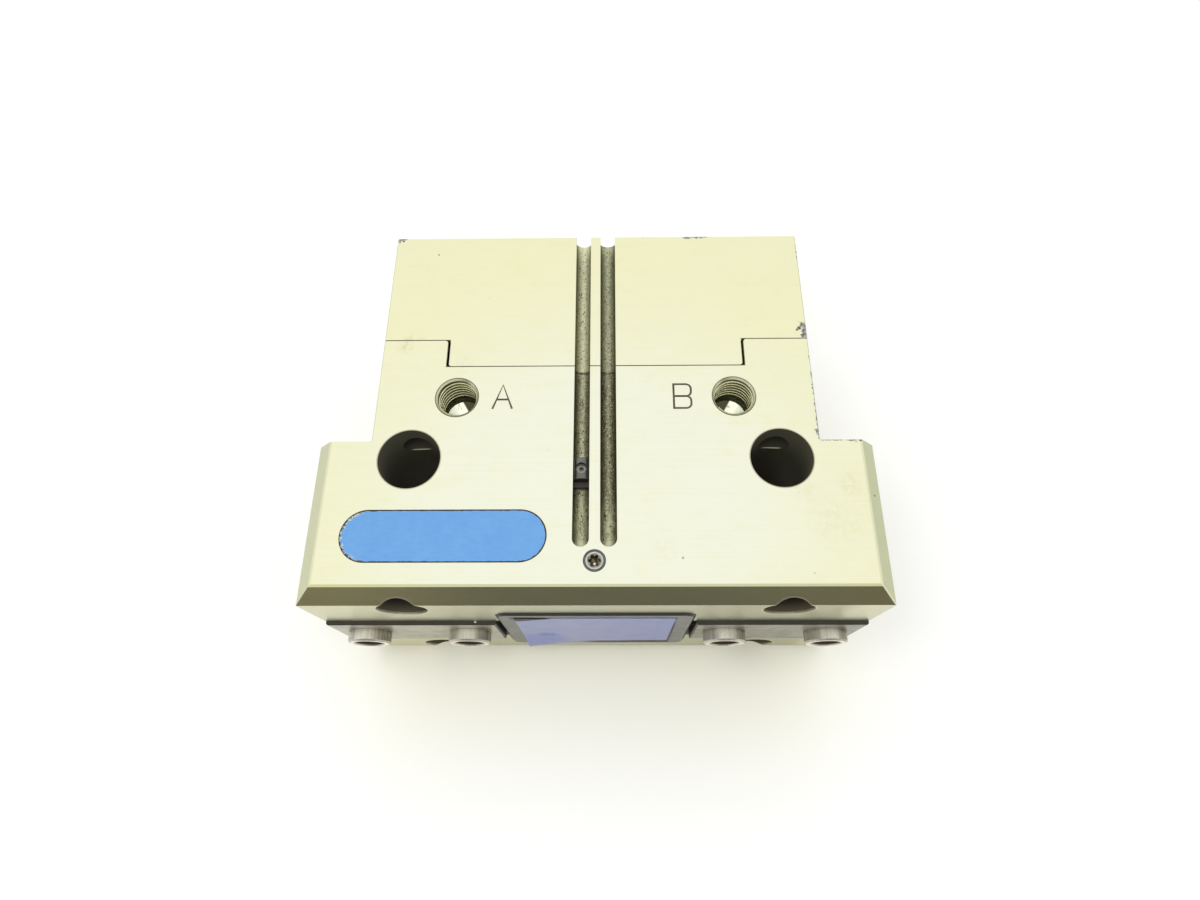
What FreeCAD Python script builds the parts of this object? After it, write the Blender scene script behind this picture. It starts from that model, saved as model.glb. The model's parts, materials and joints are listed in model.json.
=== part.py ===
# Pneumatic two-finger parallel gripper with wedge-hook drive and spring-assisted closing.
# Millimetres. The gripper lies on its back, closed: X is the jaws' stroke, Y runs from the
# jaws to the rear mounting face, and Z points up, out of the face with the air ports.
# The origin is the centre of the rear mounting face. Sizes named "depth" along Y are
# measured from the front wall that the jaws stand in.
import FreeCAD
import Part
import math
import os

V = FreeCAD.Vector
X_AXIS = V(1, 0, 0)
Y_AXIS = V(0, 1, 0)
Z_AXIS = V(0, 0, 1)
SIDES = (-1, 1)

# Envelope
body_width = 125.0
flange_width = 156.5
thickness = 77.0
flange_length = 45.1
flange_chamfer = 4.3
ear_length = 77.7
cap_length = 37.4
tongue_length = 8.9
tongue_width = 85.8
tongue_gap = 0.6
joint_corner_radius = 1.0
step_corner_radius = 0.8
edge_break = 0.25
flange_edge_break = 0.4
joint_edge_break = 0.15

# Base jaws and their T-slot
jaw_cover_gap = 1.1
jaw_setback = 0.35
jaw_proud = 1.2
jaw_shoulder_depth = 2.5
jaw_neck_width = 24.8
jaw_head_width = 38.0
jaw_head_depth = 16.0
jaw_tip_flat = 2.0
jaw_edge_chamfer = 0.4
lip_depth = 9.0
slide_clearance = 0.05

# Wedge hook and rod
piston_stroke = 13.0
wedge_angle = 45.0
hook_front_depth = 4.6
hook_web = 6.0
hook_height = 22.0
hook_shank_length = 1.0
rail_neck_width = 9.0
rail_neck_depth = 3.0
rail_head_width = 16.0
rail_head_depth = 3.5
wedge_clearance = 0.05
rod_diameter = 16.0
pilot_diameter = 10.0
pilot_length = 4.0
pocket_clearance = 0.5
pocket_corner_radius = 3.0

# Partition with the rod bush and rod seal
bush_length = 5.0
bush_wall = 2.0
rod_seal_length = 3.5
rod_seal_wall = 3.0
running_clearance = 0.03

# Oval cylinder and piston
bore_width = 76.0
bore_height = 48.0
piston_thickness = 12.0
piston_clearance = 0.05
piston_chamfer = 1.5
end_clearance = 0.5
seal_groove_depth = 2.6
seal_groove_width = 3.0
seal_groove_offset = 3.0
seal_side_clearance = 0.1
magnet_diameter = 4.0
magnet_length = 4.0
magnet_offset = 9.0
cap_seal_section = 1.6
cap_seal_margin = 2.2

# Closing springs
spring_spacing = 43.0
spring_diameter = 27.0
spring_wire = 2.8
spring_turns = 7.5
spring_steps = 16
spring_sides = 8
spring_pocket_clearance = 0.5
spring_seat_depth = 3.0
cap_floor = 7.8

# Fasteners: M8 piston screw, M6 cap screws, M3 countersunk cover screws
thread_clearance = 0.05
hole_clearance = 0.3
piston_screw_diameter = 8.0
piston_screw_head_diameter = 13.0
piston_screw_head_height = 5.0
piston_screw_socket = 5.0
piston_screw_grip = 12.0
cap_screw_diameter = 6.0
cap_screw_head_diameter = 10.0
cap_screw_head_height = 6.0
cap_screw_socket = 5.0
cap_screw_grip = 15.0
cap_screw_spacing_x = 44.0
cap_screw_spacing_z = 62.0
cap_screw_sink = 1.0
cover_screw_diameter = 3.0
cover_screw_head_diameter = 5.6
cover_screw_length = 7.5
cover_screw_socket = 2.0
cover_screw_spacing_x = 37.0
cover_screw_spacing_z = 35.0
socket_share = 0.5
drill_reserve = 1.5

# Mounting holes
mount_spacing_x = 103.4
mount_spacing_z = 58.0
mount_diameter = 8.5
mount_counterbore_diameter = 13.7
mount_counterbore_depth = 8.0
lateral_spacing = 103.0
lateral_depth = 39.7
lateral_diameter = 11.0
lateral_counterbore_diameter = 17.4
lateral_counterbore_depth = 52.0
dowel_spacing = 103.4
dowel_diameter = 8.0
dowel_depth = 10.0

# Air ports and their passages
port_spacing = 79.2
port_depth = 58.75
port_thread_core = 11.2
port_thread_length = 14.0
port_countersink_diameter = 12.4
port_countersink_depth = 0.6
port_drill_angle = 118.0
passage_diameter = 4.4
passage_end_margin = 1.5

# Sensor slots and the sensor clip
slot_spacing = 7.48
slot_width = 4.5
slot_bore_diameter = 5.2
slot_bore_depth = 2.5
slot_end_depth = 14.55
clip_front_depth = 33.8
clip_length = 6.25
clip_nose_length = 1.5
clip_nose_drop = 2.4
clip_sink = 0.8
clip_clearance = 0.1
clip_side_clearance = 0.33
clip_screw_diameter = 2.5
clip_screw_length = 2.4
clip_screw_socket = 1.3
clip_seat_diameter = 3.2
clip_seat_depth = 0.5

# Purge plug
plug_depth = 10.85
plug_seal_diameter = 6.1
plug_seal_height = 1.2
plug_head_diameter = 4.7
plug_thread_diameter = 4.0
plug_thread_length = 6.0
plug_socket_diameter = 3.3
plug_socket_depth = 1.8
plug_lobes = 6
plug_lobe_share = 0.72
purge_diameter = 3.0

# Name plate, centre cover and its label
plate_length = 54.8
plate_width = 14.1
plate_thickness = 0.8
plate_x = -40.3
plate_depth = 17.65
plate_gap = 0.15
cover_width = 55.6
cover_height = 48.4
cover_corner_radius = 3.4
cover_thickness = 2.2
cover_proud = 0.7
cover_gap = 0.1
cover_edge_chamfer = 0.8
label_width = 45.6
label_height = 42.3
label_drop = 0.95
label_thickness = 0.2
label_corner_radius = 1.0

# Centring sleeves and finger threads on the jaws
sleeve_inner_margin = 9.3
sleeve_outer_margin = 9.4
sleeve_diameter = 12.6
sleeve_bore = 8.2
sleeve_proud = 3.4
sleeve_seat = 4.0
sleeve_chamfer = 0.5
finger_thread_core = 6.8
finger_thread_length = 12.0

# Small overlap that carries a cut through a face, and the distance below which two places are one
overshoot = 1.0
coincidence = 1e-4

# Places worked out from the sizes above
total_length = ear_length + cap_length
front_y = -total_length
flange_y = front_y + flange_length
ear_y = front_y + ear_length
joint_y = ear_y - tongue_length
rear_y = 0.0
top_z = thickness / 2
jaw_outer_x = flange_width / 2 - jaw_setback
jaw_inner_x = cover_width / 2 + jaw_cover_gap
jaw_face_y = front_y - jaw_proud
lip_y = front_y + lip_depth
jaw_back_y = lip_y + jaw_head_depth
hook_front_y = front_y + hook_front_depth
hook_back_y = jaw_back_y
rod_front_y = hook_back_y + hook_shank_length
partition_y = rod_front_y + piston_stroke + pocket_clearance
bore_front_y = partition_y + bush_length + rod_seal_length
piston_front_y = bore_front_y + end_clearance
piston_back_y = piston_front_y + piston_thickness
bore_back_y = piston_back_y + piston_stroke + end_clearance
spring_seat_y = piston_back_y - spring_seat_depth
spring_floor_y = rear_y - cap_floor
spring_pocket_diameter = spring_diameter + 2 * spring_pocket_clearance
wedge_slope = math.tan(math.radians(wedge_angle))
wedge_stretch = 1 / math.cos(math.radians(wedge_angle))
rail_depth = rail_neck_depth + rail_head_depth
cover_recess = cover_thickness - cover_proud
cover_face_y = front_y - cover_proud
slot_end_y = front_y + slot_end_depth + slot_width / 2
slot_axis_z = top_z - slot_bore_depth
port_y = front_y + port_depth
port_floor_z = top_z - port_thread_length
plug_y = front_y + plug_depth
sleeve_places = (jaw_inner_x + sleeve_inner_margin, jaw_outer_x - sleeve_outer_margin)


def block(x0, x1, y0, y1, z0, z1):
    """A box between two corners."""
    return Part.makeBox(x1 - x0, y1 - y0, z1 - z0, V(x0, y0, z0))


def prism(outline, z0, z1):
    """A polygon in plan, as (x, y) pairs, drawn up from z0 to z1."""
    points = [V(x, y, z0) for x, y in outline]
    face = Part.Face(Part.makePolygon(points + points[:1]))
    return face.extrude(V(0, 0, z1 - z0))


def round_bar(diameter, start, direction, length):
    """A cylinder from a start point along a direction."""
    return Part.makeCylinder(diameter / 2, length, start, direction)


def between(diameter, start, end):
    """A cylinder from one point to another."""
    way = end - start
    return round_bar(diameter, start, way, way.Length)


def placed(shape, position, direction):
    """A shape built along +Z from the origin, turned to a direction and moved to a position."""
    turned = shape.copy()
    turned.Placement = FreeCAD.Placement(position, FreeCAD.Rotation(Z_AXIS, direction))
    return turned


def mirrored(shape):
    """The shape's mirror image across the middle of the stroke."""
    return shape.mirror(V(0, 0, 0), X_AXIS)


def round_outline(width, height, radius):
    """A closed wire in the XY plane: a rectangle with round corners, or a capsule."""
    a = width / 2 - radius
    b = height / 2 - radius
    diagonal = radius * math.sqrt(0.5)
    edges = []
    for sx, sy, horizontal_first in ((1, 1, True), (1, -1, False), (-1, -1, True), (-1, 1, False)):
        on_end = V(sx * a, sy * (b + radius), 0)
        on_side = V(sx * (a + radius), sy * b, 0)
        middle = V(sx * (a + diagonal), sy * (b + diagonal), 0)
        first, last = (on_end, on_side) if horizontal_first else (on_side, on_end)
        edges.append(Part.Arc(first, middle, last).toShape())
    straight = []
    for arc, following in zip(edges, edges[1:] + edges[:1]):
        start = arc.Vertexes[-1].Point
        end = following.Vertexes[0].Point
        if start.distanceToPoint(end) > coincidence:
            straight.append(Part.LineSegment(start, end).toShape())
    return Part.Wire(Part.__sortEdges__(edges + straight))


def round_plate(width, height, radius, length):
    """A bar of rounded or capsule section along +Z."""
    return Part.Face(round_outline(width, height, radius)).extrude(V(0, 0, length))


def oval(grow, y0, y1):
    """The cylinder's oval section, grown all round by a given amount, between two places on Y."""
    width = bore_width + 2 * grow
    height = bore_height + 2 * grow
    return placed(round_plate(width, height, height / 2, y1 - y0), V(0, y0, 0), Y_AXIS)


def hexagon(across_flats, length):
    """A hexagonal bar along +Z."""
    radius = across_flats / 2 / math.cos(math.pi / 6)
    corners = [(radius * math.cos(k * math.pi / 3), radius * math.sin(k * math.pi / 3)) for k in range(6)]
    return prism(corners, 0, length)


def lobed_socket(diameter, lobes, inner_share, length):
    """A star-shaped socket along +Z, with round lobes on a round core."""
    core = round_bar(diameter * inner_share, V(0, 0, 0), Z_AXIS, length)
    lobe_radius = diameter * (1 - inner_share) / 2
    for k in range(lobes):
        angle = 2 * math.pi * k / lobes
        reach = diameter / 2 - lobe_radius
        centre = V(reach * math.cos(angle), reach * math.sin(angle), 0)
        core = core.fuse(round_bar(2 * lobe_radius, centre, Z_AXIS, length))
    return core.removeSplitter()


def socket_screw(thread, head, head_height, socket, length):
    """A socket head screw along -Z, with the bearing face of its head at the origin."""
    shank = round_bar(thread, V(0, 0, -length), Z_AXIS, length)
    top = round_bar(head, V(0, 0, 0), Z_AXIS, head_height)
    depth = socket_share * head_height
    hollow = placed(hexagon(socket, depth + overshoot), V(0, 0, head_height - depth), Z_AXIS)
    return shank.fuse(top).cut(hollow).removeSplitter()


def edges_at(shape, test):
    """The edges of a shape whose middle passes a test."""
    return [edge for edge in shape.Edges if test(edge.CenterOfMass)]


def near(a, b):
    """Whether two places coincide."""
    return abs(a - b) < coincidence


def wedge_half_width(y):
    """Half the hook's width at a place on Y, in the closed position."""
    return hook_web / 2 + (hook_back_y - y) * wedge_slope


def wedge_strip(inner, outer, y0, y1):
    """The plan of a strip along the right wedge face, between two distances from that face."""
    return [
        (wedge_half_width(y0) + inner * wedge_stretch, y0),
        (wedge_half_width(y0) + outer * wedge_stretch, y0),
        (wedge_half_width(y1) + outer * wedge_stretch, y1),
        (wedge_half_width(y1) + inner * wedge_stretch, y1),
    ]


def mount_points():
    """The four through holes' places on X and Z."""
    return [(i * mount_spacing_x / 2, k * mount_spacing_z / 2) for i in SIDES for k in SIDES]


def cap_screw_points():
    """The four cap screws' places on X and Z."""
    return [(i * cap_screw_spacing_x / 2, k * cap_screw_spacing_z / 2) for i in SIDES for k in SIDES]


def cover_screw_points():
    """The four cover screws' places on X and Z."""
    return [(i * cover_screw_spacing_x / 2, k * cover_screw_spacing_z / 2) for i in SIDES for k in SIDES]


def slot_cut(x, closed_front, y0, y1):
    """A sensor slot: a straight mouth over a round groove, with a ball end if it closes in front."""
    half = slot_width / 2
    mouth = block(x - half, x + half, y0, y1, slot_axis_z, top_z + overshoot)
    groove = round_bar(slot_bore_diameter, V(x, y0, slot_axis_z), Y_AXIS, y1 - y0)
    cut = mouth.fuse(groove)
    if closed_front:
        mouth_end = round_bar(slot_width, V(x, y0, slot_axis_z), Z_AXIS, slot_bore_depth + overshoot)
        ball = Part.makeSphere(slot_bore_diameter / 2, V(x, y0, slot_axis_z))
        cut = cut.fuse([mouth_end, ball])
    return cut


def make_housing():
    """The main body with the jaw slot, hook pocket, oval cylinder, ports and mounting holes."""
    half_flange = flange_width / 2
    half_body = body_width / 2
    ear_x = tongue_width / 2 + tongue_gap
    right = [
        (half_flange, front_y),
        (half_flange, flange_y),
        (half_body, flange_y),
        (half_body, ear_y),
        (ear_x, ear_y),
        (ear_x, joint_y),
    ]
    body = prism(right + [(-x, y) for x, y in reversed(right)], -top_z, top_z)
    rim = edges_at(
        body,
        lambda c: near(abs(c.z), top_z) and (near(c.y, front_y) or near(abs(c.x), half_flange)),
    )
    body = body.makeChamfer(flange_chamfer, rim)
    steps = edges_at(body, lambda c: near(abs(c.x), half_body) and near(c.y, flange_y) and near(c.z, 0))
    body = body.makeFillet(step_corner_radius, steps)
    corners = edges_at(
        body,
        lambda c: near(c.z, 0) and near(abs(c.x), ear_x) and (near(c.y, joint_y) or near(c.y, ear_y)),
    )
    body = body.makeFillet(joint_corner_radius, corners)
    body = body.makeChamfer(joint_edge_break, edges_at(body, on_ear_joint))
    body = body.makeChamfer(edge_break, edges_at(body, on_body_outline))
    body = body.makeChamfer(flange_edge_break, edges_at(body, on_flange_rim))
    cuts = jaw_slot_cuts() + drive_cuts() + housing_hole_cuts() + top_face_cuts()
    return body.cut(cuts).removeSplitter()


def on_body_outline(c):
    """Whether an edge's middle lies on the housing's upper or lower outline behind the flange."""
    if not near(abs(c.z), top_z):
        return False
    on_side = near(abs(c.x), body_width / 2) and c.y > flange_y + step_corner_radius
    return on_side or near(c.y, flange_y)


def on_flange_rim(c):
    """Whether an edge's middle lies where the flange's chamfers meet the upper or lower face."""
    if not near(abs(c.z), top_z):
        return False
    return near(c.y, front_y + flange_chamfer) or near(abs(c.x), flange_width / 2 - flange_chamfer)


def on_ear_joint(c):
    """Whether an edge's middle lies on the outline of the housing's joint with the cap."""
    on_face = near(abs(c.z), top_z)
    on_step = near(abs(c.x), tongue_width / 2 + tongue_gap)
    on_side = near(abs(c.x), body_width / 2) and near(c.z, 0)
    on_plane = near(c.y, ear_y) or near(c.y, joint_y)
    return (on_face and (on_plane or on_step)) or (on_side and near(c.y, ear_y))


def jaw_slot_cuts():
    """The T-slot across the flange, and the recess and threads of the centre cover."""
    far = flange_width / 2 + overshoot
    neck = jaw_neck_width / 2 + slide_clearance
    head = jaw_head_width / 2 + slide_clearance
    cuts = [
        block(-far, far, front_y - overshoot, lip_y, -neck, neck),
        block(-far, far, lip_y - slide_clearance, jaw_back_y + slide_clearance, -head, head),
    ]
    recess = round_plate(
        cover_width + 2 * cover_gap,
        cover_height + 2 * cover_gap,
        cover_corner_radius + cover_gap,
        cover_recess + overshoot,
    )
    cuts.append(placed(recess, V(0, front_y - overshoot, 0), Y_AXIS))
    for x, z in cover_screw_points():
        core = cover_screw_diameter + 2 * thread_clearance
        cuts.append(round_bar(core, V(x, front_y, z), Y_AXIS, cover_screw_length))
    return cuts


def drive_cuts():
    """The hook's pocket, the seats of the bush and rod seal, and the oval cylinder."""
    half_x = wedge_half_width(hook_back_y) + piston_stroke * wedge_slope + rail_depth * wedge_stretch
    pocket = round_plate(
        2 * (half_x + pocket_clearance),
        hook_height + 2 * pocket_clearance,
        pocket_corner_radius,
        partition_y - jaw_back_y + overshoot,
    )
    bush = rod_diameter + 2 * bush_wall
    seal = rod_diameter + 2 * rod_seal_wall
    return [
        placed(pocket, V(0, jaw_back_y - overshoot, 0), Y_AXIS),
        round_bar(bush, V(0, partition_y - overshoot, 0), Y_AXIS, bush_length + overshoot),
        round_bar(seal, V(0, partition_y + bush_length, 0), Y_AXIS, rod_seal_length + overshoot),
        oval(0, bore_front_y, joint_y + overshoot),
    ]


def housing_hole_cuts():
    """Mounting holes, cap screw threads and air ports with their slanting passages."""
    cuts = []
    for x, z in mount_points():
        start = V(x, front_y - overshoot, z)
        cuts.append(round_bar(mount_diameter, start, Y_AXIS, ear_length + 2 * overshoot))
        sunk = mount_counterbore_depth + overshoot
        cuts.append(round_bar(mount_counterbore_diameter, start, Y_AXIS, sunk))
    for side in SIDES:
        foot = V(side * lateral_spacing / 2, front_y + lateral_depth, -top_z - overshoot)
        cuts.append(round_bar(lateral_diameter, foot, Z_AXIS, thickness + 2 * overshoot))
        seat = V(foot.x, foot.y, top_z - lateral_counterbore_depth)
        sunk = lateral_counterbore_depth + overshoot
        cuts.append(round_bar(lateral_counterbore_diameter, seat, Z_AXIS, sunk))
    for x, z in cap_screw_points():
        start = V(x, joint_y + overshoot, z)
        deep = cap_screw_grip + drill_reserve + overshoot
        cuts.append(round_bar(cap_screw_diameter + 2 * thread_clearance, start, -Y_AXIS, deep))
    front_passage_y = bore_front_y + passage_end_margin
    rear_passage_y = joint_y - passage_diameter / 2 - passage_end_margin
    cuts += port_cuts(-1, front_passage_y) + port_cuts(1, rear_passage_y)
    return cuts


def port_cuts(side, passage_y):
    """One threaded air port, and the passage from its foot to a place on the cylinder's length."""
    x = side * port_spacing / 2
    core = port_thread_core / 2
    tip = core / math.tan(math.radians(port_drill_angle / 2))
    floor = V(x, port_y, port_floor_z)
    drilled = round_bar(port_thread_core, floor, Z_AXIS, port_thread_length + overshoot)
    point = Part.makeCone(0, core, tip, V(x, port_y, port_floor_z - tip), Z_AXIS)
    countersink = Part.makeCone(
        core,
        port_countersink_diameter / 2,
        port_countersink_depth,
        V(x, port_y, top_z - port_countersink_depth),
        Z_AXIS,
    )
    bore_end_x = (bore_width - bore_height) / 2
    passage = between(passage_diameter, floor, V(side * bore_end_x, passage_y, 0))
    return [drilled, point, countersink, passage]


def top_face_cuts():
    """Sensor slots, the purge plug's thread and the name plate's recess."""
    cuts = []
    for side in SIDES:
        cuts.append(slot_cut(side * slot_spacing / 2, True, slot_end_y, joint_y + overshoot))
    seal_floor = top_z - plug_seal_height
    deep = plug_thread_length + drill_reserve
    core = plug_thread_diameter + 2 * thread_clearance
    seat = V(0, plug_y, seal_floor)
    cuts.append(round_bar(plug_seal_diameter, seat, Z_AXIS, plug_seal_height + overshoot))
    cuts.append(round_bar(core, V(0, plug_y, seal_floor - deep), Z_AXIS, deep + overshoot))
    cuts.append(round_bar(purge_diameter, V(0, plug_y, 0), Z_AXIS, seal_floor))
    recess = round_plate(
        plate_length + 2 * plate_gap,
        plate_width + 2 * plate_gap,
        plate_width / 2 + plate_gap,
        plate_thickness + overshoot,
    )
    cuts.append(placed(recess, V(plate_x, front_y + plate_depth, top_z - plate_thickness), Z_AXIS))
    return cuts


def make_spring_cap():
    """The rear cap: a tongue between the housing's ears, spring pockets and the mounting face."""
    half_body = body_width / 2
    half_tongue = tongue_width / 2
    right = [
        (half_tongue, joint_y),
        (half_tongue, ear_y),
        (half_body, ear_y),
        (half_body, rear_y),
    ]
    cap = prism(right + [(-x, y) for x, y in reversed(right)], -top_z, top_z)
    corners = edges_at(
        cap,
        lambda c: near(c.z, 0) and near(abs(c.x), half_tongue) and (near(c.y, joint_y) or near(c.y, ear_y)),
    )
    cap = cap.makeFillet(joint_corner_radius, corners)
    cap = cap.makeChamfer(joint_edge_break, edges_at(cap, on_tongue_joint))
    cap = cap.makeChamfer(edge_break, edges_at(cap, on_cap_outline))
    cuts = [oval(0, joint_y - overshoot, bore_back_y)]
    for side in SIDES:
        pocket = V(side * spring_spacing / 2, joint_y, 0)
        cuts.append(round_bar(spring_pocket_diameter, pocket, Y_AXIS, spring_floor_y - joint_y))
        cuts.append(slot_cut(side * slot_spacing / 2, False, joint_y - overshoot, rear_y + overshoot))
        dowel = V(side * dowel_spacing / 2, rear_y - dowel_depth, 0)
        cuts.append(round_bar(dowel_diameter, dowel, Y_AXIS, dowel_depth + overshoot))
    for x, z in mount_points():
        start = V(x, ear_y - overshoot, z)
        cuts.append(round_bar(mount_diameter, start, Y_AXIS, cap_length + 2 * overshoot))
    seat = cap_screw_head_height + cap_screw_sink
    for x, z in cap_screw_points():
        through = V(x, joint_y - overshoot, z)
        length = rear_y - joint_y + 2 * overshoot
        cuts.append(round_bar(cap_screw_diameter + 2 * hole_clearance, through, Y_AXIS, length))
        head = V(x, rear_y - seat, z)
        cuts.append(round_bar(cap_screw_head_diameter + 2 * hole_clearance, head, Y_AXIS, seat + overshoot))
    groove = cap_seal_margin + cap_seal_section
    ring = oval(groove, joint_y - overshoot, joint_y + cap_seal_section)
    cuts.append(ring.cut(oval(cap_seal_margin, joint_y - 2 * overshoot, joint_y + 2 * cap_seal_section)))
    return cap.cut(cuts).removeSplitter()


def on_cap_outline(c):
    """Whether an edge's middle lies on one of the cap's outer edges, away from the joint."""
    on_face = near(abs(c.z), top_z)
    on_side = near(abs(c.x), body_width / 2)
    on_rear = near(c.y, rear_y)
    return (on_face and (on_side or on_rear)) or (on_side and on_rear)


def on_tongue_joint(c):
    """Whether an edge's middle lies on the outline of the cap's joint with the housing."""
    on_face = near(abs(c.z), top_z)
    on_step = near(abs(c.x), tongue_width / 2)
    on_side = near(abs(c.x), body_width / 2) and near(c.z, 0)
    on_plane = near(c.y, ear_y) or near(c.y, joint_y)
    return (on_face and (on_plane or on_step)) or (on_side and near(c.y, ear_y))


def make_cap_seal():
    """The flat-sided ring in the cap's groove, pressed by the housing."""
    inner = cap_seal_margin + seal_side_clearance
    outer = cap_seal_margin + cap_seal_section - seal_side_clearance
    back_y = joint_y + cap_seal_section
    return oval(outer, joint_y, back_y).cut(oval(inner, joint_y, back_y))


def make_cap_screws():
    """The four screws that hold the cap, from counterbores in the rear face."""
    seat_y = rear_y - cap_screw_head_height - cap_screw_sink
    length = seat_y - joint_y + cap_screw_grip
    screw = socket_screw(
        cap_screw_diameter, cap_screw_head_diameter, cap_screw_head_height, cap_screw_socket, length
    )
    return Part.makeCompound([placed(screw, V(x, seat_y, z), Y_AXIS) for x, z in cap_screw_points()])


def make_centre_cover():
    """The plate over the middle of the jaw slot, with countersunk holes."""
    plate = round_plate(cover_width, cover_height, cover_corner_radius, cover_thickness)
    cover = placed(plate, V(0, cover_face_y, 0), Y_AXIS)
    cover = cover.makeChamfer(cover_edge_chamfer, edges_at(cover, lambda c: near(c.y, cover_face_y)))
    hole = cover_screw_form(hole_clearance)
    holes = [placed(hole, V(x, cover_face_y, z), -Y_AXIS) for x, z in cover_screw_points()]
    return cover.cut(holes).removeSplitter()


def cover_screw_form(grow):
    """A countersunk screw along -Z with its flat head at the origin, grown by a clearance."""
    thread = cover_screw_diameter / 2
    head = cover_screw_head_diameter / 2
    cone = Part.makeCone(thread + grow, head + grow, head - thread, V(0, 0, thread - head), Z_AXIS)
    end = V(0, 0, -cover_screw_length)
    return cone.fuse(round_bar(2 * (thread + grow), end, Z_AXIS, cover_screw_length))


def make_cover_screws():
    """The four countersunk screws of the centre cover, under the label."""
    depth = socket_share * (cover_screw_head_diameter - cover_screw_diameter) / 2
    hollow = placed(hexagon(cover_screw_socket, depth + overshoot), V(0, 0, -depth), Z_AXIS)
    screw = cover_screw_form(0).cut(hollow).removeSplitter()
    screws = [placed(screw, V(x, cover_face_y, z), -Y_AXIS) for x, z in cover_screw_points()]
    return Part.makeCompound(screws)


def make_cover_label():
    """The plain label stuck on the centre cover."""
    plate = round_plate(label_width, label_height, label_corner_radius, label_thickness)
    return placed(plate, V(0, cover_face_y - label_thickness, -label_drop), Y_AXIS)


def make_name_plate():
    """The bare capsule-shaped plate, flush in its recess."""
    plate = round_plate(plate_length, plate_width, plate_width / 2, plate_thickness)
    return placed(plate, V(plate_x, front_y + plate_depth, top_z - plate_thickness), Z_AXIS)


def make_purge_plug():
    """The plug of the purge-air connection, with a star-shaped socket, flush with the top face."""
    floor = top_z - plug_seal_height
    head = round_bar(plug_head_diameter, V(0, plug_y, floor), Z_AXIS, plug_seal_height)
    end = V(0, plug_y, floor - plug_thread_length)
    plug = head.fuse(round_bar(plug_thread_diameter, end, Z_AXIS, plug_thread_length))
    socket = lobed_socket(plug_socket_diameter, plug_lobes, plug_lobe_share, plug_socket_depth + overshoot)
    socket = placed(socket, V(0, plug_y, top_z - plug_socket_depth), Z_AXIS)
    return plug.cut(socket).removeSplitter()


def make_purge_plug_seal():
    """The sealing ring around the plug's head."""
    base = V(0, plug_y, top_z - plug_seal_height)
    ring = round_bar(plug_seal_diameter - 2 * thread_clearance, base, Z_AXIS, plug_seal_height)
    return ring.cut(round_bar(plug_head_diameter + 2 * thread_clearance, base, Z_AXIS, plug_seal_height))


def make_sensor_clip():
    """The clamping piece in the left sensor slot, with a lower nose and a seat for its screw."""
    x = -slot_spacing / 2
    y0 = front_y + clip_front_depth
    half = slot_width / 2 - clip_side_clearance
    radius = slot_bore_diameter / 2 - clip_clearance
    nose_y = y0 - clip_nose_length
    length = clip_length + clip_nose_length
    groove = round_bar(2 * radius, V(x, nose_y, slot_axis_z), Y_AXIS, length)
    mouth = block(x - half, x + half, nose_y, y0 + clip_length, slot_axis_z, top_z - clip_sink)
    clip = groove.fuse(mouth)
    lower = top_z - clip_sink - clip_nose_drop
    clip = clip.cut(block(x - radius, x + radius, nose_y - overshoot, y0, lower, top_z))
    middle = V(x, y0 + clip_length / 2, 0)
    seat_z = top_z - clip_sink - clip_seat_depth
    seat = round_bar(clip_seat_diameter, middle + V(0, 0, seat_z), Z_AXIS, clip_seat_depth + overshoot)
    bottom = slot_axis_z - radius - overshoot
    core = clip_screw_diameter + 2 * thread_clearance
    thread = round_bar(core, middle + V(0, 0, bottom), Z_AXIS, seat_z - bottom)
    return clip.cut([seat, thread]).removeSplitter()


def make_sensor_clip_screw():
    """The set screw that clamps the clip against the slot's floor."""
    middle = V(-slot_spacing / 2, front_y + clip_front_depth + clip_length / 2, 0)
    head_z = top_z - clip_sink - clip_seat_depth
    end = middle + V(0, 0, head_z - clip_screw_length)
    screw = round_bar(clip_screw_diameter, end, Z_AXIS, clip_screw_length)
    depth = socket_share * clip_screw_length
    socket = hexagon(clip_screw_socket, depth + overshoot)
    return screw.cut(placed(socket, middle + V(0, 0, head_z - depth), Z_AXIS))


def make_rod_bush():
    """The plain bush that guides the hook's rod in the partition."""
    return ring_on_rod(bush_wall, partition_y, bush_length)


def make_rod_seal():
    """The rod seal between the cylinder and the hook's pocket."""
    return ring_on_rod(rod_seal_wall, partition_y + bush_length, rod_seal_length)


def ring_on_rod(wall, y, length):
    """A ring around the rod, with a running clearance inside."""
    outer = round_bar(rod_diameter + 2 * wall, V(0, y, 0), Y_AXIS, length)
    return outer.cut(round_bar(rod_diameter + 2 * running_clearance, V(0, y, 0), Y_AXIS, length))


def make_wedge_hook():
    """The hook with a T-rail on each slanting side, its rod and the pilot for the piston."""
    front = wedge_half_width(hook_front_y)
    back = hook_web / 2
    core = prism(
        [(-front, hook_front_y), (front, hook_front_y), (back, hook_back_y), (-back, hook_back_y)],
        -hook_height / 2,
        hook_height / 2,
    )
    solids = [block(-back, back, hook_back_y, rod_front_y, -hook_height / 2, hook_height / 2)]
    neck = prism(
        wedge_strip(0, rail_neck_depth, hook_front_y, hook_back_y),
        -rail_neck_width / 2,
        rail_neck_width / 2,
    )
    head = prism(
        wedge_strip(rail_neck_depth, rail_depth, hook_front_y, hook_back_y),
        -rail_head_width / 2,
        rail_head_width / 2,
    )
    rail = neck.fuse(head)
    solids += [rail, mirrored(rail)]
    solids.append(rod_shape())
    hook = core.fuse(solids).removeSplitter()
    thread_depth = piston_screw_grip + drill_reserve
    start = V(0, piston_front_y + pilot_length, 0)
    return hook.cut(round_bar(piston_screw_diameter + 2 * thread_clearance, start, -Y_AXIS, thread_depth))


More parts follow.
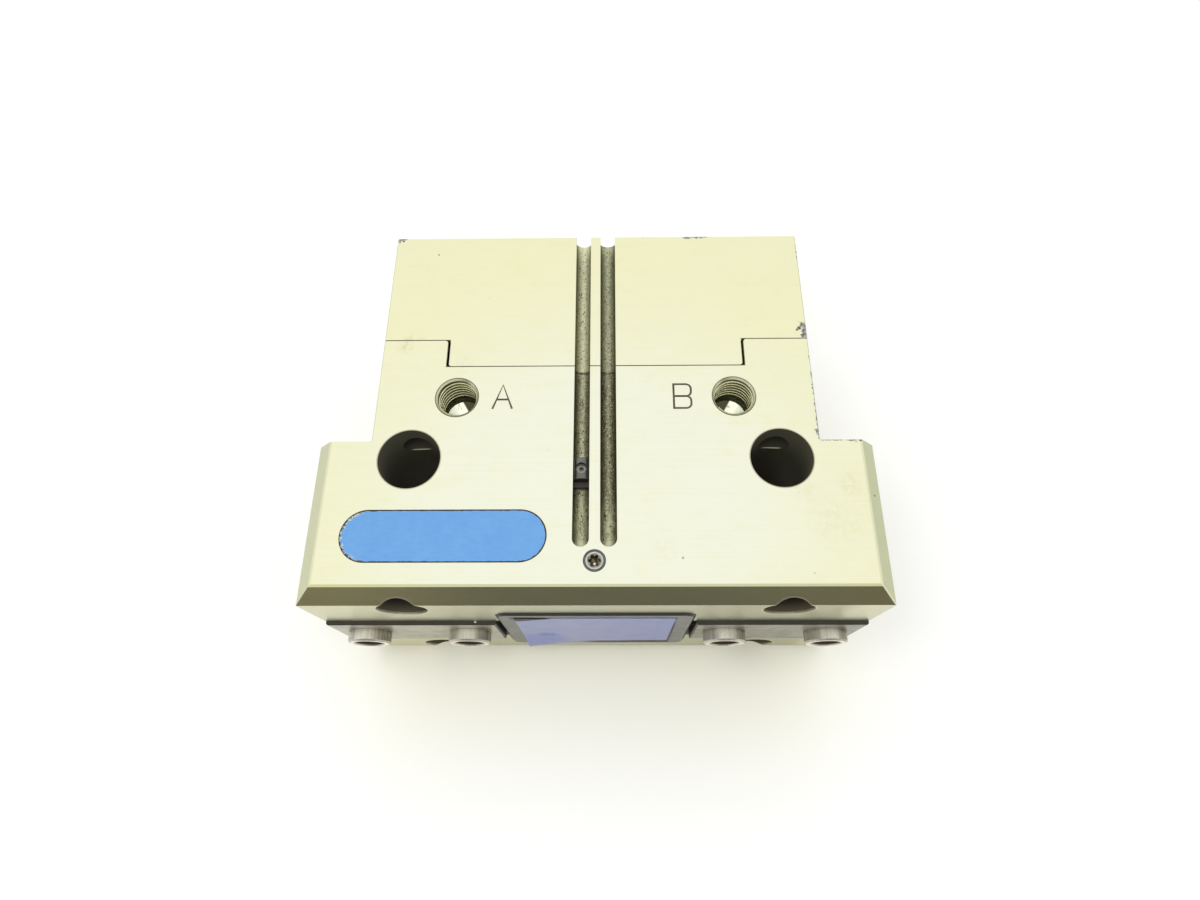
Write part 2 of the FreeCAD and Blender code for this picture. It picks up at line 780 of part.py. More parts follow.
def rod_shape():
    """The hook's round rod with the pilot that enters the piston."""
    rod = round_bar(rod_diameter, V(0, rod_front_y, 0), Y_AXIS, piston_front_y - rod_front_y)
    return rod.fuse(round_bar(pilot_diameter, V(0, piston_front_y, 0), Y_AXIS, pilot_length))


def make_piston():
    """The oval piston with its seal groove, spring seats, magnet holes and screw seat."""
    piston = oval(-piston_clearance, piston_front_y, piston_back_y)
    rims = edges_at(piston, lambda c: near(c.y, piston_front_y) or near(c.y, piston_back_y))
    piston = piston.makeChamfer(piston_chamfer, rims)
    groove_y = piston_front_y + seal_groove_offset
    groove = oval(overshoot, groove_y, groove_y + seal_groove_width)
    groove = groove.cut(oval(-piston_clearance - seal_groove_depth, groove_y, groove_y + seal_groove_width))
    cuts = [groove]
    for side in SIDES:
        seat = V(side * spring_spacing / 2, spring_seat_y, 0)
        cuts.append(round_bar(spring_pocket_diameter, seat, Y_AXIS, spring_seat_depth + overshoot))
        cuts.append(magnet_form(side, hole_clearance, overshoot))
    pilot = pilot_diameter + 2 * running_clearance
    cuts.append(round_bar(pilot, V(0, piston_front_y, 0), Y_AXIS, pilot_length))
    shank = piston_screw_diameter + 2 * hole_clearance
    cuts.append(round_bar(shank, V(0, piston_front_y, 0), Y_AXIS, piston_thickness))
    head = V(0, piston_back_y - piston_screw_head_height, 0)
    head_diameter = piston_screw_head_diameter + 2 * hole_clearance
    cuts.append(round_bar(head_diameter, head, Y_AXIS, piston_screw_head_height + overshoot))
    return piston.cut(cuts).removeSplitter()


def magnet_form(side, grow, extra):
    """A switching magnet in the piston's upper rim, below one sensor slot."""
    foot_z = bore_height / 2 - piston_clearance - magnet_length
    foot = V(side * slot_spacing / 2, piston_front_y + magnet_offset, foot_z)
    return round_bar(magnet_diameter + 2 * grow, foot, Z_AXIS, magnet_length + extra)


def make_piston_magnets():
    """The two switching magnets."""
    return Part.makeCompound([magnet_form(side, 0, -running_clearance) for side in SIDES])


def make_piston_seal():
    """The piston's oval seal, filling its groove up to the cylinder wall."""
    y0 = piston_front_y + seal_groove_offset + seal_side_clearance
    y1 = piston_front_y + seal_groove_offset + seal_groove_width - seal_side_clearance
    return oval(-running_clearance, y0, y1).cut(oval(-piston_clearance - seal_groove_depth, y0, y1))


def make_piston_screw():
    """The low-head screw that draws the piston onto the hook's rod."""
    seat = V(0, piston_back_y - piston_screw_head_height, 0)
    length = seat.y - piston_front_y - pilot_length + piston_screw_grip
    screw = socket_screw(
        piston_screw_diameter,
        piston_screw_head_diameter,
        piston_screw_head_height,
        piston_screw_socket,
        length,
    )
    return placed(screw, seat, Y_AXIS)


def make_spring(side):
    """One closing spring between its seat in the piston and the floor of the cap's pocket."""
    radius = (spring_diameter - spring_wire) / 2
    height = spring_floor_y - spring_seat_y - spring_wire - 2 * running_clearance
    steps = round(spring_turns * spring_steps)
    rings = [wire_ring(radius, height, k / steps) for k in range(steps + 1)]
    faces = [flat_face(rings[0]), flat_face(rings[-1])]
    for near_ring, far_ring in zip(rings, rings[1:]):
        for k in range(spring_sides):
            after = (k + 1) % spring_sides
            faces.append(flat_face([near_ring[k], near_ring[after], far_ring[after]]))
            faces.append(flat_face([near_ring[k], far_ring[after], far_ring[k]]))
    coil = Part.makeSolid(Part.makeShell(faces))
    if coil.Volume < 0:
        coil.reverse()
    start_y = spring_seat_y + running_clearance + spring_wire / 2
    return placed(coil, V(side * spring_spacing / 2, start_y, 0), Y_AXIS)


def wire_ring(radius, height, share):
    """The corners of the spring wire's section at a share of the coil's length."""
    angle = 2 * math.pi * spring_turns * share
    outward = V(math.cos(angle), math.sin(angle), 0)
    rise = height / (2 * math.pi * spring_turns * radius)
    along = V(-math.sin(angle), math.cos(angle), rise).normalize()
    upward = along.cross(outward).negative()
    centre = outward * radius + Z_AXIS * height * share
    corners = []
    for k in range(spring_sides):
        turn = 2 * math.pi * k / spring_sides
        corners.append(centre + (outward * math.cos(turn) + upward * math.sin(turn)) * (spring_wire / 2))
    return corners


def flat_face(corners):
    """A flat face between corners."""
    return Part.Face(Part.makePolygon(corners + corners[:1]))


def make_right_jaw():
    """The right base jaw: a T-profile with a slanting T-slot that takes the hook's rail."""
    shift = wedge_clearance * wedge_stretch
    shoulder_y = front_y + jaw_shoulder_depth
    tip_y = jaw_back_y - jaw_tip_flat
    tip_x = wedge_half_width(tip_y) + shift
    inner = [
        (wedge_half_width(lip_y) + shift, lip_y),
        (tip_x, tip_y),
        (tip_x, jaw_back_y),
        (jaw_outer_x, jaw_back_y),
    ]
    front = [
        (jaw_outer_x, jaw_face_y),
        (jaw_inner_x, jaw_face_y),
        (jaw_inner_x, shoulder_y),
        (wedge_half_width(shoulder_y) + shift, shoulder_y),
    ]
    half_neck = jaw_neck_width / 2
    half_head = jaw_head_width / 2
    jaw = prism(front + inner[1:], -half_neck, half_neck)
    jaw = jaw.fuse(prism(inner + [(jaw_outer_x, lip_y)], -half_head, half_head)).removeSplitter()
    face_edges = edges_at(jaw, lambda c: near(c.y, jaw_face_y))
    jaw = jaw.makeChamfer(jaw_edge_chamfer, face_edges)
    start_y = hook_front_y - wedge_clearance
    end_y = jaw_back_y + overshoot
    neck = rail_neck_width / 2 + wedge_clearance
    head = rail_head_width / 2 + wedge_clearance
    inside = rail_neck_depth - wedge_clearance
    outside = rail_depth + wedge_clearance
    cuts = [
        prism(wedge_strip(-overshoot, rail_neck_depth, start_y, end_y), -neck, neck),
        prism(wedge_strip(inside, outside, start_y, end_y), -head, head),
    ]
    for x in sleeve_places:
        face = V(x, jaw_face_y, 0)
        cuts.append(round_bar(sleeve_diameter, face, Y_AXIS, sleeve_seat))
        cuts.append(round_bar(finger_thread_core, face, Y_AXIS, sleeve_seat + finger_thread_length))
    return jaw.cut(cuts).removeSplitter()


def make_right_sleeves():
    """The two centring sleeves in the right jaw's face."""
    outer = sleeve_diameter / 2
    bore = sleeve_bore / 2
    length = sleeve_proud + sleeve_seat
    profile = [
        V(bore, 0, 0),
        V(outer, 0, 0),
        V(outer, 0, length - sleeve_chamfer),
        V(outer - sleeve_chamfer, 0, length),
        V(bore + sleeve_chamfer, 0, length),
        V(bore, 0, length - sleeve_chamfer),
    ]
    sleeve = Part.Face(Part.makePolygon(profile + profile[:1])).revolve(V(0, 0, 0), Z_AXIS, 360)
    seat_y = jaw_face_y + sleeve_seat
    return Part.makeCompound([placed(sleeve, V(x, seat_y, 0), -Y_AXIS) for x in sleeve_places])


def make_parts():
    """Every piece of the gripper, by name."""
    right_jaw = make_right_jaw()
    right_sleeves = make_right_sleeves()
    return {
        "housing": make_housing(),
        "spring_cap": make_spring_cap(),
        "cap_screws": make_cap_screws(),
        "cap_seal": make_cap_seal(),
        "centre_cover": make_centre_cover(),
        "cover_screws": make_cover_screws(),
        "cover_label": make_cover_label(),
        "name_plate": make_name_plate(),
        "purge_plug": make_purge_plug(),
        "purge_plug_seal": make_purge_plug_seal(),
        "sensor_clip": make_sensor_clip(),
        "sensor_clip_screw": make_sensor_clip_screw(),
        "rod_bush": make_rod_bush(),
        "rod_seal": make_rod_seal(),
        "wedge_hook": make_wedge_hook(),
        "piston": make_piston(),
        "piston_seal": make_piston_seal(),
        "piston_magnets": make_piston_magnets(),
        "piston_screw": make_piston_screw(),
        "closing_spring_left": make_spring(-1),
        "closing_spring_right": make_spring(1),
        "base_jaw_left": mirrored(right_jaw),
        "base_jaw_right": right_jaw,
        "centring_sleeves_left": mirrored(right_sleeves),
        "centring_sleeves_right": right_sleeves,
    }


def main():
    """Build every piece and write one STEP file each."""
    os.makedirs("parts", exist_ok=True)
    for name, shape in make_parts().items():
        if not shape.isValid():
            raise ValueError(f"{name} is not a valid shape")
        shape.exportStep(f"parts/{name}.step")
        print(f"{name}: {len(shape.Solids)} solid(s), {shape.Volume:.0f} mm3")


if __name__ == "__main__":
    main()
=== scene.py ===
"""Looks of a pneumatic two-finger parallel gripper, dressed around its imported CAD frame.

The gripper lies on its back on a white table, with its jaws towards the camera and the ported face up.
Lengths are written in millimetres in the CAD frame and turned into metres where Blender needs them.
"""

import json
import logging
import math
from dataclasses import dataclass
from enum import Enum
from functools import cached_property
from typing import Iterable, Optional, Sequence, Union

import bmesh
import bpy
from mathutils import Matrix, Vector

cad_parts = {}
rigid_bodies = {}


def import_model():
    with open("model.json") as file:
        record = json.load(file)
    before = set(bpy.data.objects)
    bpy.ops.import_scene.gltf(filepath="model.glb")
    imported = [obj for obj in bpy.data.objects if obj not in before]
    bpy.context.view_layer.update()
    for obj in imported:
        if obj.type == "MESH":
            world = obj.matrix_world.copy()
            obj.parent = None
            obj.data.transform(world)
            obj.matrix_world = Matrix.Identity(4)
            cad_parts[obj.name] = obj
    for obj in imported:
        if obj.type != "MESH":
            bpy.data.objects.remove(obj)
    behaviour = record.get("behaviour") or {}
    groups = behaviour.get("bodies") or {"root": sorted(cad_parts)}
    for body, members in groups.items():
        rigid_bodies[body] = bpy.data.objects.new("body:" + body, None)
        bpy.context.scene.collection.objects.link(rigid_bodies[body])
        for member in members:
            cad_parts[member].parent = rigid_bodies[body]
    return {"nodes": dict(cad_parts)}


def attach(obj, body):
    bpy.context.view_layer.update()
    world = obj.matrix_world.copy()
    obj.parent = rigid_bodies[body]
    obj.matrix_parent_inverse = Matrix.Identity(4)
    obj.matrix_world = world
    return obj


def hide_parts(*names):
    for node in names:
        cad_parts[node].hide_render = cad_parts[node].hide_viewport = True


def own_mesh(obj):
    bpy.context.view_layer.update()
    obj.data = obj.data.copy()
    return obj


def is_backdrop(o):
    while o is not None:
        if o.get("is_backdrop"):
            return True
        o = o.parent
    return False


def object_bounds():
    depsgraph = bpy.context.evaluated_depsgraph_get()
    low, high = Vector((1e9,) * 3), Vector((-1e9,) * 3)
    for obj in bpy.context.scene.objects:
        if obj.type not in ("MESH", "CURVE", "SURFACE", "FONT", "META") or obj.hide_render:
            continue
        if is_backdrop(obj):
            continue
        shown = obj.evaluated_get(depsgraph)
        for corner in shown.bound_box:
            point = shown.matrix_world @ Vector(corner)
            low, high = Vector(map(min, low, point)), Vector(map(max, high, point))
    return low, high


LOG = logging.getLogger("gripper")
MM = 0.001
SIDES = (("left", -1), ("right", 1))
Node = bpy.types.Node
Socket = bpy.types.NodeSocket
Material = bpy.types.Material
Mesh = bpy.types.Mesh
Piece = bpy.types.Object
Colour = tuple[float, float, float, float]
Point = tuple[float, float, float]
Scale = Union[float, Point]
Number = Union[float, "Field"]
Feed = Union[Number, Sequence[float], Socket]
Coats = Sequence[tuple[Number, Feed]]


def srgb(red: int, green: int, blue: int) -> Colour:
    """Turn display values of 0 to 255 into a linear colour.

    Args:
        red: Display red.
        green: Display green.
        blue: Display blue.

    Returns:
        The linear colour with full alpha.
    """
    linear = []
    for value in (red, green, blue):
        share = value / 255
        linear.append(share / 12.92 if share <= 0.04045 else ((share + 0.055) / 1.055) ** 2.4)
    return (*linear, 1.0)


class Field:
    """A number that changes over a surface: an output socket whose operators add Math nodes."""

    def __init__(self, tree: "NodeTree", socket: Socket) -> None:
        """Wrap a socket of a tree."""
        self.tree = tree
        self.socket = socket

    def combine(self, operation: str, first: Number, second: Number = 0.0) -> "Field":
        """Add one Math node for an operation on two values."""
        node = self.tree.add("ShaderNodeMath", {"operation": operation}, {0: first, 1: second})
        return Field(self.tree, node.outputs[0])

    def __add__(self, other: Number) -> "Field":
        """Sum."""
        return self.combine("ADD", self, other)

    __radd__ = __add__

    def __sub__(self, other: Number) -> "Field":
        """Difference."""
        return self.combine("SUBTRACT", self, other)

    def __rsub__(self, other: Number) -> "Field":
        """Difference, with this field taken away."""
        return self.combine("SUBTRACT", other, self)

    def __mul__(self, other: Number) -> "Field":
        """Product."""
        return self.combine("MULTIPLY", self, other)

    __rmul__ = __mul__

    def __abs__(self) -> "Field":
        """Size without sign."""
        return self.combine("ABSOLUTE", self)

    def most(self, other: Number) -> "Field":
        """The larger of this and another value."""
        return self.combine("MAXIMUM", self, other)

    def least(self, other: Number) -> "Field":
        """The smaller of this and another value."""
        return self.combine("MINIMUM", self, other)

    def hypot(self, other: "Field") -> "Field":
        """The distance from an axis, from this and another offset across it."""
        return self.combine("SQRT", self * self + other * other)

    def ease(self, start: float, end: float, low: float = 0.0, high: float = 1.0) -> "Field":
        """Pass smoothly from one level to another.

        Args:
            start: Where the low level ends.
            end: Where the high level begins.
            low: The level at the start.
            high: The level at the end.

        Returns:
            The eased field.
        """
        if start > end:
            start, end, low, high = end, start, high, low
        settings = {"interpolation_type": "SMOOTHSTEP"}
        sockets = {"Value": self, "From Min": start, "From Max": end, "To Min": low, "To Max": high}
        return Field(self.tree, self.tree.add("ShaderNodeMapRange", settings, sockets).outputs[0])

    def inside(self, low: float, high: float, soft: float) -> "Field":
        """One between two limits and nothing outside them, with soft ends."""
        return self.ease(low - soft, low + soft) * self.ease(high + soft, high - soft)


class NodeTree:
    """A node tree with one way to add its nodes."""

    def __init__(self, tree: bpy.types.NodeTree) -> None:
        """Start from an empty tree."""
        self.tree = tree
        tree.nodes.clear()

    def add(self, kind: str, settings: Optional[dict] = None, sockets: Optional[dict] = None) -> Node:
        """Add a node.

        Args:
            kind: The node's type.
            settings: Its own settings, set first; "stops" holds a ramp's positions and colours.
            sockets: The values or links of its inputs, by name or place.

        Returns:
            The new node.
        """
        node = self.tree.nodes.new(kind)
        for key, value in (settings or {}).items():
            if key == "stops":
                self.set_stops(node.color_ramp, value)
            else:
                setattr(node, key, value)
        for key, value in (sockets or {}).items():
            self.feed(node.inputs[key], value)
        return node

    @staticmethod
    def set_stops(ramp: bpy.types.ColorRamp, stops: Sequence[tuple[float, Colour]]) -> None:
        """Give a colour ramp its stops.

        Args:
            ramp: The ramp.
            stops: The positions, in rising order, and their colours.
        """
        while len(ramp.elements) < len(stops):
            ramp.elements.new(1.0)
        for element, (position, colour) in zip(ramp.elements, stops):
            element.position = position
            element.color = colour

    def feed(self, socket: Socket, value: Feed) -> None:
        """Link an input or set its own value.

        Args:
            socket: The input.
            value: A field or socket to link, or a constant.
        """
        if isinstance(value, Field):
            value = value.socket
        if isinstance(value, Socket):
            self.tree.links.new(value, socket)
        else:
            socket.default_value = value


class ShaderTree(NodeTree):
    """A node tree of a material or world."""

    def split(self, vector: Socket) -> tuple[Field, ...]:
        """The three parts of a vector."""
        node = self.add("ShaderNodeSeparateXYZ", None, {0: vector})
        return tuple(Field(self, part) for part in node.outputs)

    def blend(self, share: Number, below: Feed, above: Feed, way: str = "MIX") -> Socket:
        """Mix two colours by the share of the second that shows, with the Mix node's blend type."""
        settings = {"data_type": "RGBA", "blend_type": way, "clamp_factor": True}
        return self.add("ShaderNodeMix", settings, {0: share, 6: below, 7: above}).outputs[2]

    def layers(self, colour: Feed, coats: Coats, way: str = "MIX") -> Socket:
        """Lay coats over a colour.

        Args:
            colour: The lowest colour.
            coats: The share of each coat that shows, and its colour.
            way: The Mix nodes' blend type.

        Returns:
            The colour with its coats.
        """
        for share, coat in coats:
            colour = self.blend(share, colour, coat, way)
        return colour


class MaterialTree(ShaderTree):
    """A material's tree around one Principled shader."""

    def __init__(self, name: str) -> None:
        """Make the material with its output and shader.

        Args:
            name: The material's name.
        """
        self.material = bpy.data.materials.new(name)
        self.material.use_nodes = True
        super().__init__(self.material.node_tree)
        self.shader = self.add("ShaderNodeBsdfPrincipled")
        self.add("ShaderNodeOutputMaterial", None, {"Surface": self.shader.outputs[0]})

    @cached_property
    def place(self) -> Socket:
        """The place on the piece in the CAD frame, in millimetres."""
        sockets = {0: self.add("ShaderNodeTexCoord").outputs["Object"], "Scale": 1 / MM}
        return self.add("ShaderNodeVectorMath", {"operation": "SCALE"}, sockets).outputs[0]

    @cached_property
    def spot(self) -> tuple[Field, ...]:
        """The three parts of that place."""
        return self.split(self.place)

    @cached_property
    def facing(self) -> tuple[Field, ...]:
        """The three parts of the surface's direction in the CAD frame."""
        return self.split(self.add("ShaderNodeTexCoord").outputs["Normal"])

    def spread(self, scale: Scale, shift: Point = (0.0, 0.0, 0.0)) -> dict[str, Feed]:
        """Say where a texture reads.

        Args:
            scale: One scale, or one for each axis.
            shift: How far a texture with three scales is moved.

        Returns:
            The texture's place and scale inputs.
        """
        if not isinstance(scale, tuple):
            return {"Vector": self.place, "Scale": scale}
        sockets = {"Vector": self.place, "Scale": scale, "Location": shift}
        return {"Vector": self.add("ShaderNodeMapping", None, sockets).outputs[0], "Scale": 1.0}

    def noise(
        self, scale: Scale, detail: float = 3.0, rough: float = 0.55, shift: Point = (0.0, 0.0, 0.0)
    ) -> Field:
        """Cloudy noise between 0 and 1, with a number of finer layers and their share."""
        sockets = {"Detail": detail, "Roughness": rough, **self.spread(scale, shift)}
        return Field(self, self.add("ShaderNodeTexNoise", None, sockets).outputs[0])

    def cells(self, scale: Scale) -> Field:
        """The distance from scattered points."""
        return Field(self, self.add("ShaderNodeTexVoronoi", None, self.spread(scale)).outputs["Distance"])

    def bump(self, height: Field, depth: float) -> Socket:
        """A bumped direction from a height between 0 and 1, its depth in millimetres."""
        sockets = {"Strength": 1.0, "Distance": depth * MM, "Height": height}
        return self.add("ShaderNodeBump", None, sockets).outputs[0]

    def dress(self, **sockets: Feed) -> Material:
        """Feed the shader.

        Args:
            sockets: The values or links of its inputs, named with underscores for spaces.

        Returns:
            The material.
        """
        for key, value in sockets.items():
            self.feed(self.shader.inputs[key.replace("_", " ")], value)
        return self.material


class BodyPart(Enum):
    """The two anodised blocks."""

    HOUSING = "housing"
    CAP = "spring_cap"


@dataclass(frozen=True)
class ChipRun:
    """A run of chipped coating along one straight edge.

    Attributes:
        axis: The axis that the edge runs along, 0 for X and 1 for Y.
        edge: The edge's place on the other axis of the plan.
        start: Where the run begins along its axis.
        end: Where it ends.
        reach: How far the chips reach in from the edge.
        share: How much of the run is chipped.
    """

    axis: int
    edge: float
    start: float
    end: float
    reach: float
    share: float


@dataclass(frozen=True)
class Mark:
    """A small round spot in plan: its centre, its radius and how strong it is."""

    x: float
    y: float
    radius: float
    strength: float


@dataclass(frozen=True)
class BodyPlan:
    """The places on the gripper that its finishes follow, in the CAD frame."""

    top_z: float = 38.5
    half_flange: float = 78.25
    front_y: float = -115.1
    ear_y: float = -37.4
    joint_y: float = -46.3
    half_tongue: float = 42.9
    tongue_gap: float = 0.6
    slot_x: float = 3.74
    slot_half: float = 2.7
    slot_end_y: float = -101.2
    port_x: float = 39.6
    port_y: float = -56.35
    port_radius: float = 6.2
    port_floor: float = 24.5
    thread_end: float = 28.0
    lateral_x: float = 51.5
    lateral_y: float = -75.4
    lateral_radius: float = 8.7
    mount_x: float = 51.7
    mount_z: float = 29.0
    mount_radius: float = 4.25
    sunk_radius: float = 6.85
    sunk_depth: float = 8.5
    plate_x: float = -40.3
    plate_y: float = -97.45
    plate_half_run: float = 20.35
    plate_radius: float = 7.05
    plug_y: float = -104.25
    sleeve_middle: float = 53.35
    sleeve_half_step: float = 15.15

    def from_plate(self, x: Field, y: Field) -> Field:
        """The distance from the middle line of the capsule-shaped plate."""
        return (abs(x - self.plate_x) - self.plate_half_run).most(0.0).hypot(y - self.plate_y)


PLAN = BodyPlan()


@dataclass(frozen=True)
class AnodisedFinish:
    """Pale hard-anodised aluminium, finely ground, with stained slots and chipped edges, and painted light,
    shade and highlights in its colour.
    """

    part: BodyPart
    warmth: float
    chips: tuple[ChipRun, ...]
    smudges: tuple[Mark, ...]
    specks: tuple[Mark, ...]
    pale: Colour = srgb(231, 233, 214)
    warm: Colour = srgb(231, 230, 190)
    # The middle of the painted pool of light on the top.
    light_pool_y: float = -88.0
    # Multipliers that paint shade and dark reflections on the front and side chamfers, the edge breaks and
    # the front wall.
    slope_shade: Colour = (0.5, 0.48, 0.355, 1.0)
    slope_shade_left: Colour = (0.78, 0.71, 0.55, 1.0)
    slope_shade_right: Colour = (0.6, 0.565, 0.455, 1.0)
    side_shade_left: Colour = (0.745, 0.765, 0.735, 1.0)
    side_shade_right: Colour = (0.673, 0.699, 0.627, 1.0)
    break_shade: Colour = (0.8, 0.84, 0.68, 1.0)
    wall_shade: Colour = (0.64, 0.625, 0.54, 1.0)
    wall_shade_left: Colour = (0.77, 0.76, 0.72, 1.0)
    wall_shade_right: Colour = (0.54, 0.53, 0.46, 1.0)
    chip_colour: Colour = srgb(92, 92, 88)
    grime: Colour = srgb(58, 48, 34)
    # The holes' dark wall colour: painted shade.
    bore_shade: Colour = srgb(96, 94, 78)

    def build(self) -> Material:
        """Make the material.

        Returns:
            The material.
        """
        tree = MaterialTree("anodised_" + self.part.value)
        x, y, z = tree.spot
        front = tree.facing[1] * -1.0
        slope = front.inside(0.4, 0.85, 0.05)
        side = abs(tree.facing[0]).inside(0.4, 0.85, 0.05)
        wall = front.ease(0.85, 0.95)
        # Painted highlight: a bright line along the mitre between the front and side chamfers.
        mitre_highlight = abs(PLAN.half_flange + PLAN.front_y - x - y).ease(0.45, 0.15) * x.ease(70, 72)
        mitre_highlight = mitre_highlight * slope.most(side)
        slots, slot_tint = self.slots(tree)
        ports, port_tint = self.ports(tree)
        floors = ports * z.ease(PLAN.port_floor + 0.2, PLAN.port_floor)
        walls = ports * z.ease(PLAN.top_z - 0.5, PLAN.top_z - 0.75) - floors
        foot = (abs(x) - PLAN.port_x).hypot(y - PLAN.port_y) * floors
        bores, bore_coats = self.bores(tree)
        seams = self.seams(tree)
        chipped = self.chipping(tree)
        flakes = tree.noise(1.6).ease(0.4, 0.62)
        slope_ends = ((x.ease(-15, -72), self.slope_shade_left), (x.ease(15, 72), self.slope_shade_right))
        wall_ends = (
            (x.ease(-35, -62), self.wall_shade_left),
            (x.ease(15, 45) * x.ease(72, 64), self.wall_shade_right),
            (x.ease(64, 72), self.wall_shade_left),
        )
        # Painted shade and dark reflections: each face darkened by the way it is turned.
        painted_shades = (
            (slope, tree.layers(self.slope_shade, slope_ends)),
            (side, tree.blend(x.ease(-5, 5), self.side_shade_left, self.side_shade_right)),
            (front.inside(0.24, 0.44, 0.04), self.break_shade),
            (wall, tree.layers(self.wall_shade, wall_ends)),
        )
        coats = (
            (mitre_highlight * 0.8, srgb(240, 240, 210)),
            (slots, slot_tint),
            (ports, port_tint),
            *bore_coats,
            (seams, self.grime),
            (chipped, tree.blend(flakes, self.chip_colour, srgb(176, 176, 170))),
        )
        lay = tree.noise((0.05, 5.0, 5.0), 2.0)
        polish = 0.4 + (lay - 0.5) * 0.1 - slope * 0.18 - wall * 0.08 + slots * 0.12 - floors * 0.16
        height = lay * 0.5 + tree.noise(6.0, 2.0) * 0.5 - chipped * 1.5 - foot * 30.0
        height = height + slots * tree.noise(2.2, 2.0) * 8.0
        dull = bores.most(seams).most(chipped).most(walls).most(mitre_highlight)
        return tree.dress(
            Base_Color=tree.layers(tree.layers(self.ground(tree), painted_shades, "MULTIPLY"), coats),
            Metallic=0.82 - dull * 0.6 + floors * 0.18,
            Roughness=polish.most(chipped * 0.55).most(bores * 0.66),
            Normal=tree.bump(height, 0.009),
        )

    def ground(self, tree: MaterialTree) -> Socket:
        """Colour the coating: pale in the middle and warmer outside, a painted pool of light, with grinding
        lines and smudges.

        Args:
            tree: The material's tree.

        Returns:
            The colour.
        """
        x, y, _ = tree.spot
        # Painted pool of light: pale round the middle of the top, warmer further out, with each part's
        # warmth added.
        away = x.hypot((y - self.light_pool_y) * math.sqrt(1.2))
        lines = tree.noise((0.02, 3.2, 3.2), 3.0, 0.7)
        mottle = tree.noise((0.15, 0.3, 0.3), 5.0, 0.7)
        patchy = tree.noise(0.55, 5.0, 0.7).ease(0.35, 0.75)
        coats = [
            (away.ease(30, 88) * 0.75 + self.warmth + (tree.noise(0.035, 4.0) - 0.5) * 0.35, self.warm),
            (lines.ease(0.35, 0.75) * 0.11, srgb(208, 206, 168)),
            (mottle.ease(0.45, 0.75) * 0.26, srgb(226, 221, 170)),
        ]
        for mark in self.smudges:
            near = (x - mark.x).hypot(y - mark.y).ease(mark.radius, 0)
            coats.append((near * patchy * mark.strength, srgb(190, 178, 116)))
        for mark in self.specks:
            near = (x - mark.x).hypot(y - mark.y).ease(mark.radius, mark.radius * 0.4)
            coats.append((near * mark.strength, self.grime))
        return tree.layers(self.pale, coats)

    def slots(self, tree: MaterialTree) -> tuple[Field, Socket]:
        """Stain the sensor slots, and paint shade on their flanks and highlights along their floors, at
        their rounded ends and in sparkles.

        Args:
            tree: The material's tree.

        Returns:
            Where the slots are, and their colour.
        """
        x, y, z = tree.spot
        offset = abs(x) - PLAN.slot_x
        off = abs(offset)
        inside = off.ease(PLAN.slot_half + 0.05, PLAN.slot_half - 0.05)
        inside = inside * z.inside(PLAN.top_z - 6.5, PLAN.top_z - 0.1, 0.08)
        inside = inside * y.ease(PLAN.slot_end_y - 0.3, PLAN.slot_end_y)
        forward = y.ease(PLAN.joint_y + 0.3, PLAN.joint_y - 0.3)
        ahead = y.ease(-82, -94)
        right = x.ease(-0.5, 0.5) * (1 - ahead)
        wander = tree.noise((0.0, 0.12, 0.0))
        # Painted highlight: a pale streak along the middle of the slot's rounded floor.
        streak = abs(offset + (wander - 0.5) * 1.6).ease(1.25, 0.1)
        fine = tree.noise((2.6, 1.5, 2.6), 4.0, 0.75)
        dirt = tree.noise((1.0, 0.3, 1.0), 6.0, 0.7)
        joint = abs(y - PLAN.joint_y - 0.3).ease(0.7, 0.1)
        # Painted highlight at the slot's rounded front end.
        tip = y.ease(-96.8, -98.4) * off.ease(1.9, 0.7)
        # Painted highlights: bright sparkles scattered in the slot.
        sparkle_highlight = tree.noise(3.0, 2.0).ease(0.57, 0.64) * off.ease(2.0, 1.1)
        strewn = tree.noise((0.7, 0.12, 0.7), 2.0, shift=(5, 2, 0)).ease(0.4, 0.55)
        pits = tree.cells((1.1, 0.605, 1.1)).ease(0.26, 0.14) * strewn
        # The colour of the painted streak highlight, paler on the cap.
        light = tree.blend(forward, srgb(244, 245, 214), srgb(226, 227, 188))
        coats = (
            (ahead * 0.6, srgb(212, 214, 174)),
            (streak * fine.ease(0.32, 0.6), light),
            (right * 0.4, srgb(78, 76, 40)),
            (fine.ease(0.48, 0.66) * 0.6, srgb(96, 90, 62)),
            # Painted shade on the slot's flanks.
            (off.ease(1.3, 2.35) * 0.7, srgb(62, 58, 40)),
            (dirt.ease(0.48, 0.7) * (0.25 + forward * 0.5), srgb(66, 60, 40)),
            (joint * 0.8, srgb(112, 88, 54)),
            (tip * 0.6, srgb(244, 246, 210)),
            (sparkle_highlight * 0.75, srgb(250, 252, 220)),
            (pits * 0.9, srgb(20, 18, 12)),
        )
        return inside, tree.layers(tree.blend(forward, srgb(216, 216, 174), srgb(152, 150, 116)), coats)

    def ports(self, tree: MaterialTree) -> tuple[Field, Socket]:
        """Colour the air ports from the rim to the floor: dirt and rust, with painted shade in the thread
        grooves and on part of the floor.

        Args:
            tree: The material's tree.

        Returns:
            Where the ports are, and their colour.
        """
        x, y, z = tree.spot
        across = abs(x) - PLAN.port_x
        along = y - PLAN.port_y
        radius = across.hypot(along)
        inside = radius.ease(PLAN.port_radius + 0.2, PLAN.port_radius + 0.05)
        clouds = tree.noise(0.6, 4.0)
        rust = z.inside(PLAN.thread_end - 0.5, PLAN.thread_end + 0.5, 0.4) * clouds.ease(0.4, 0.6)
        swarf = tree.blend(clouds.ease(0.6, 0.72), srgb(244, 248, 222), srgb(170, 166, 108))
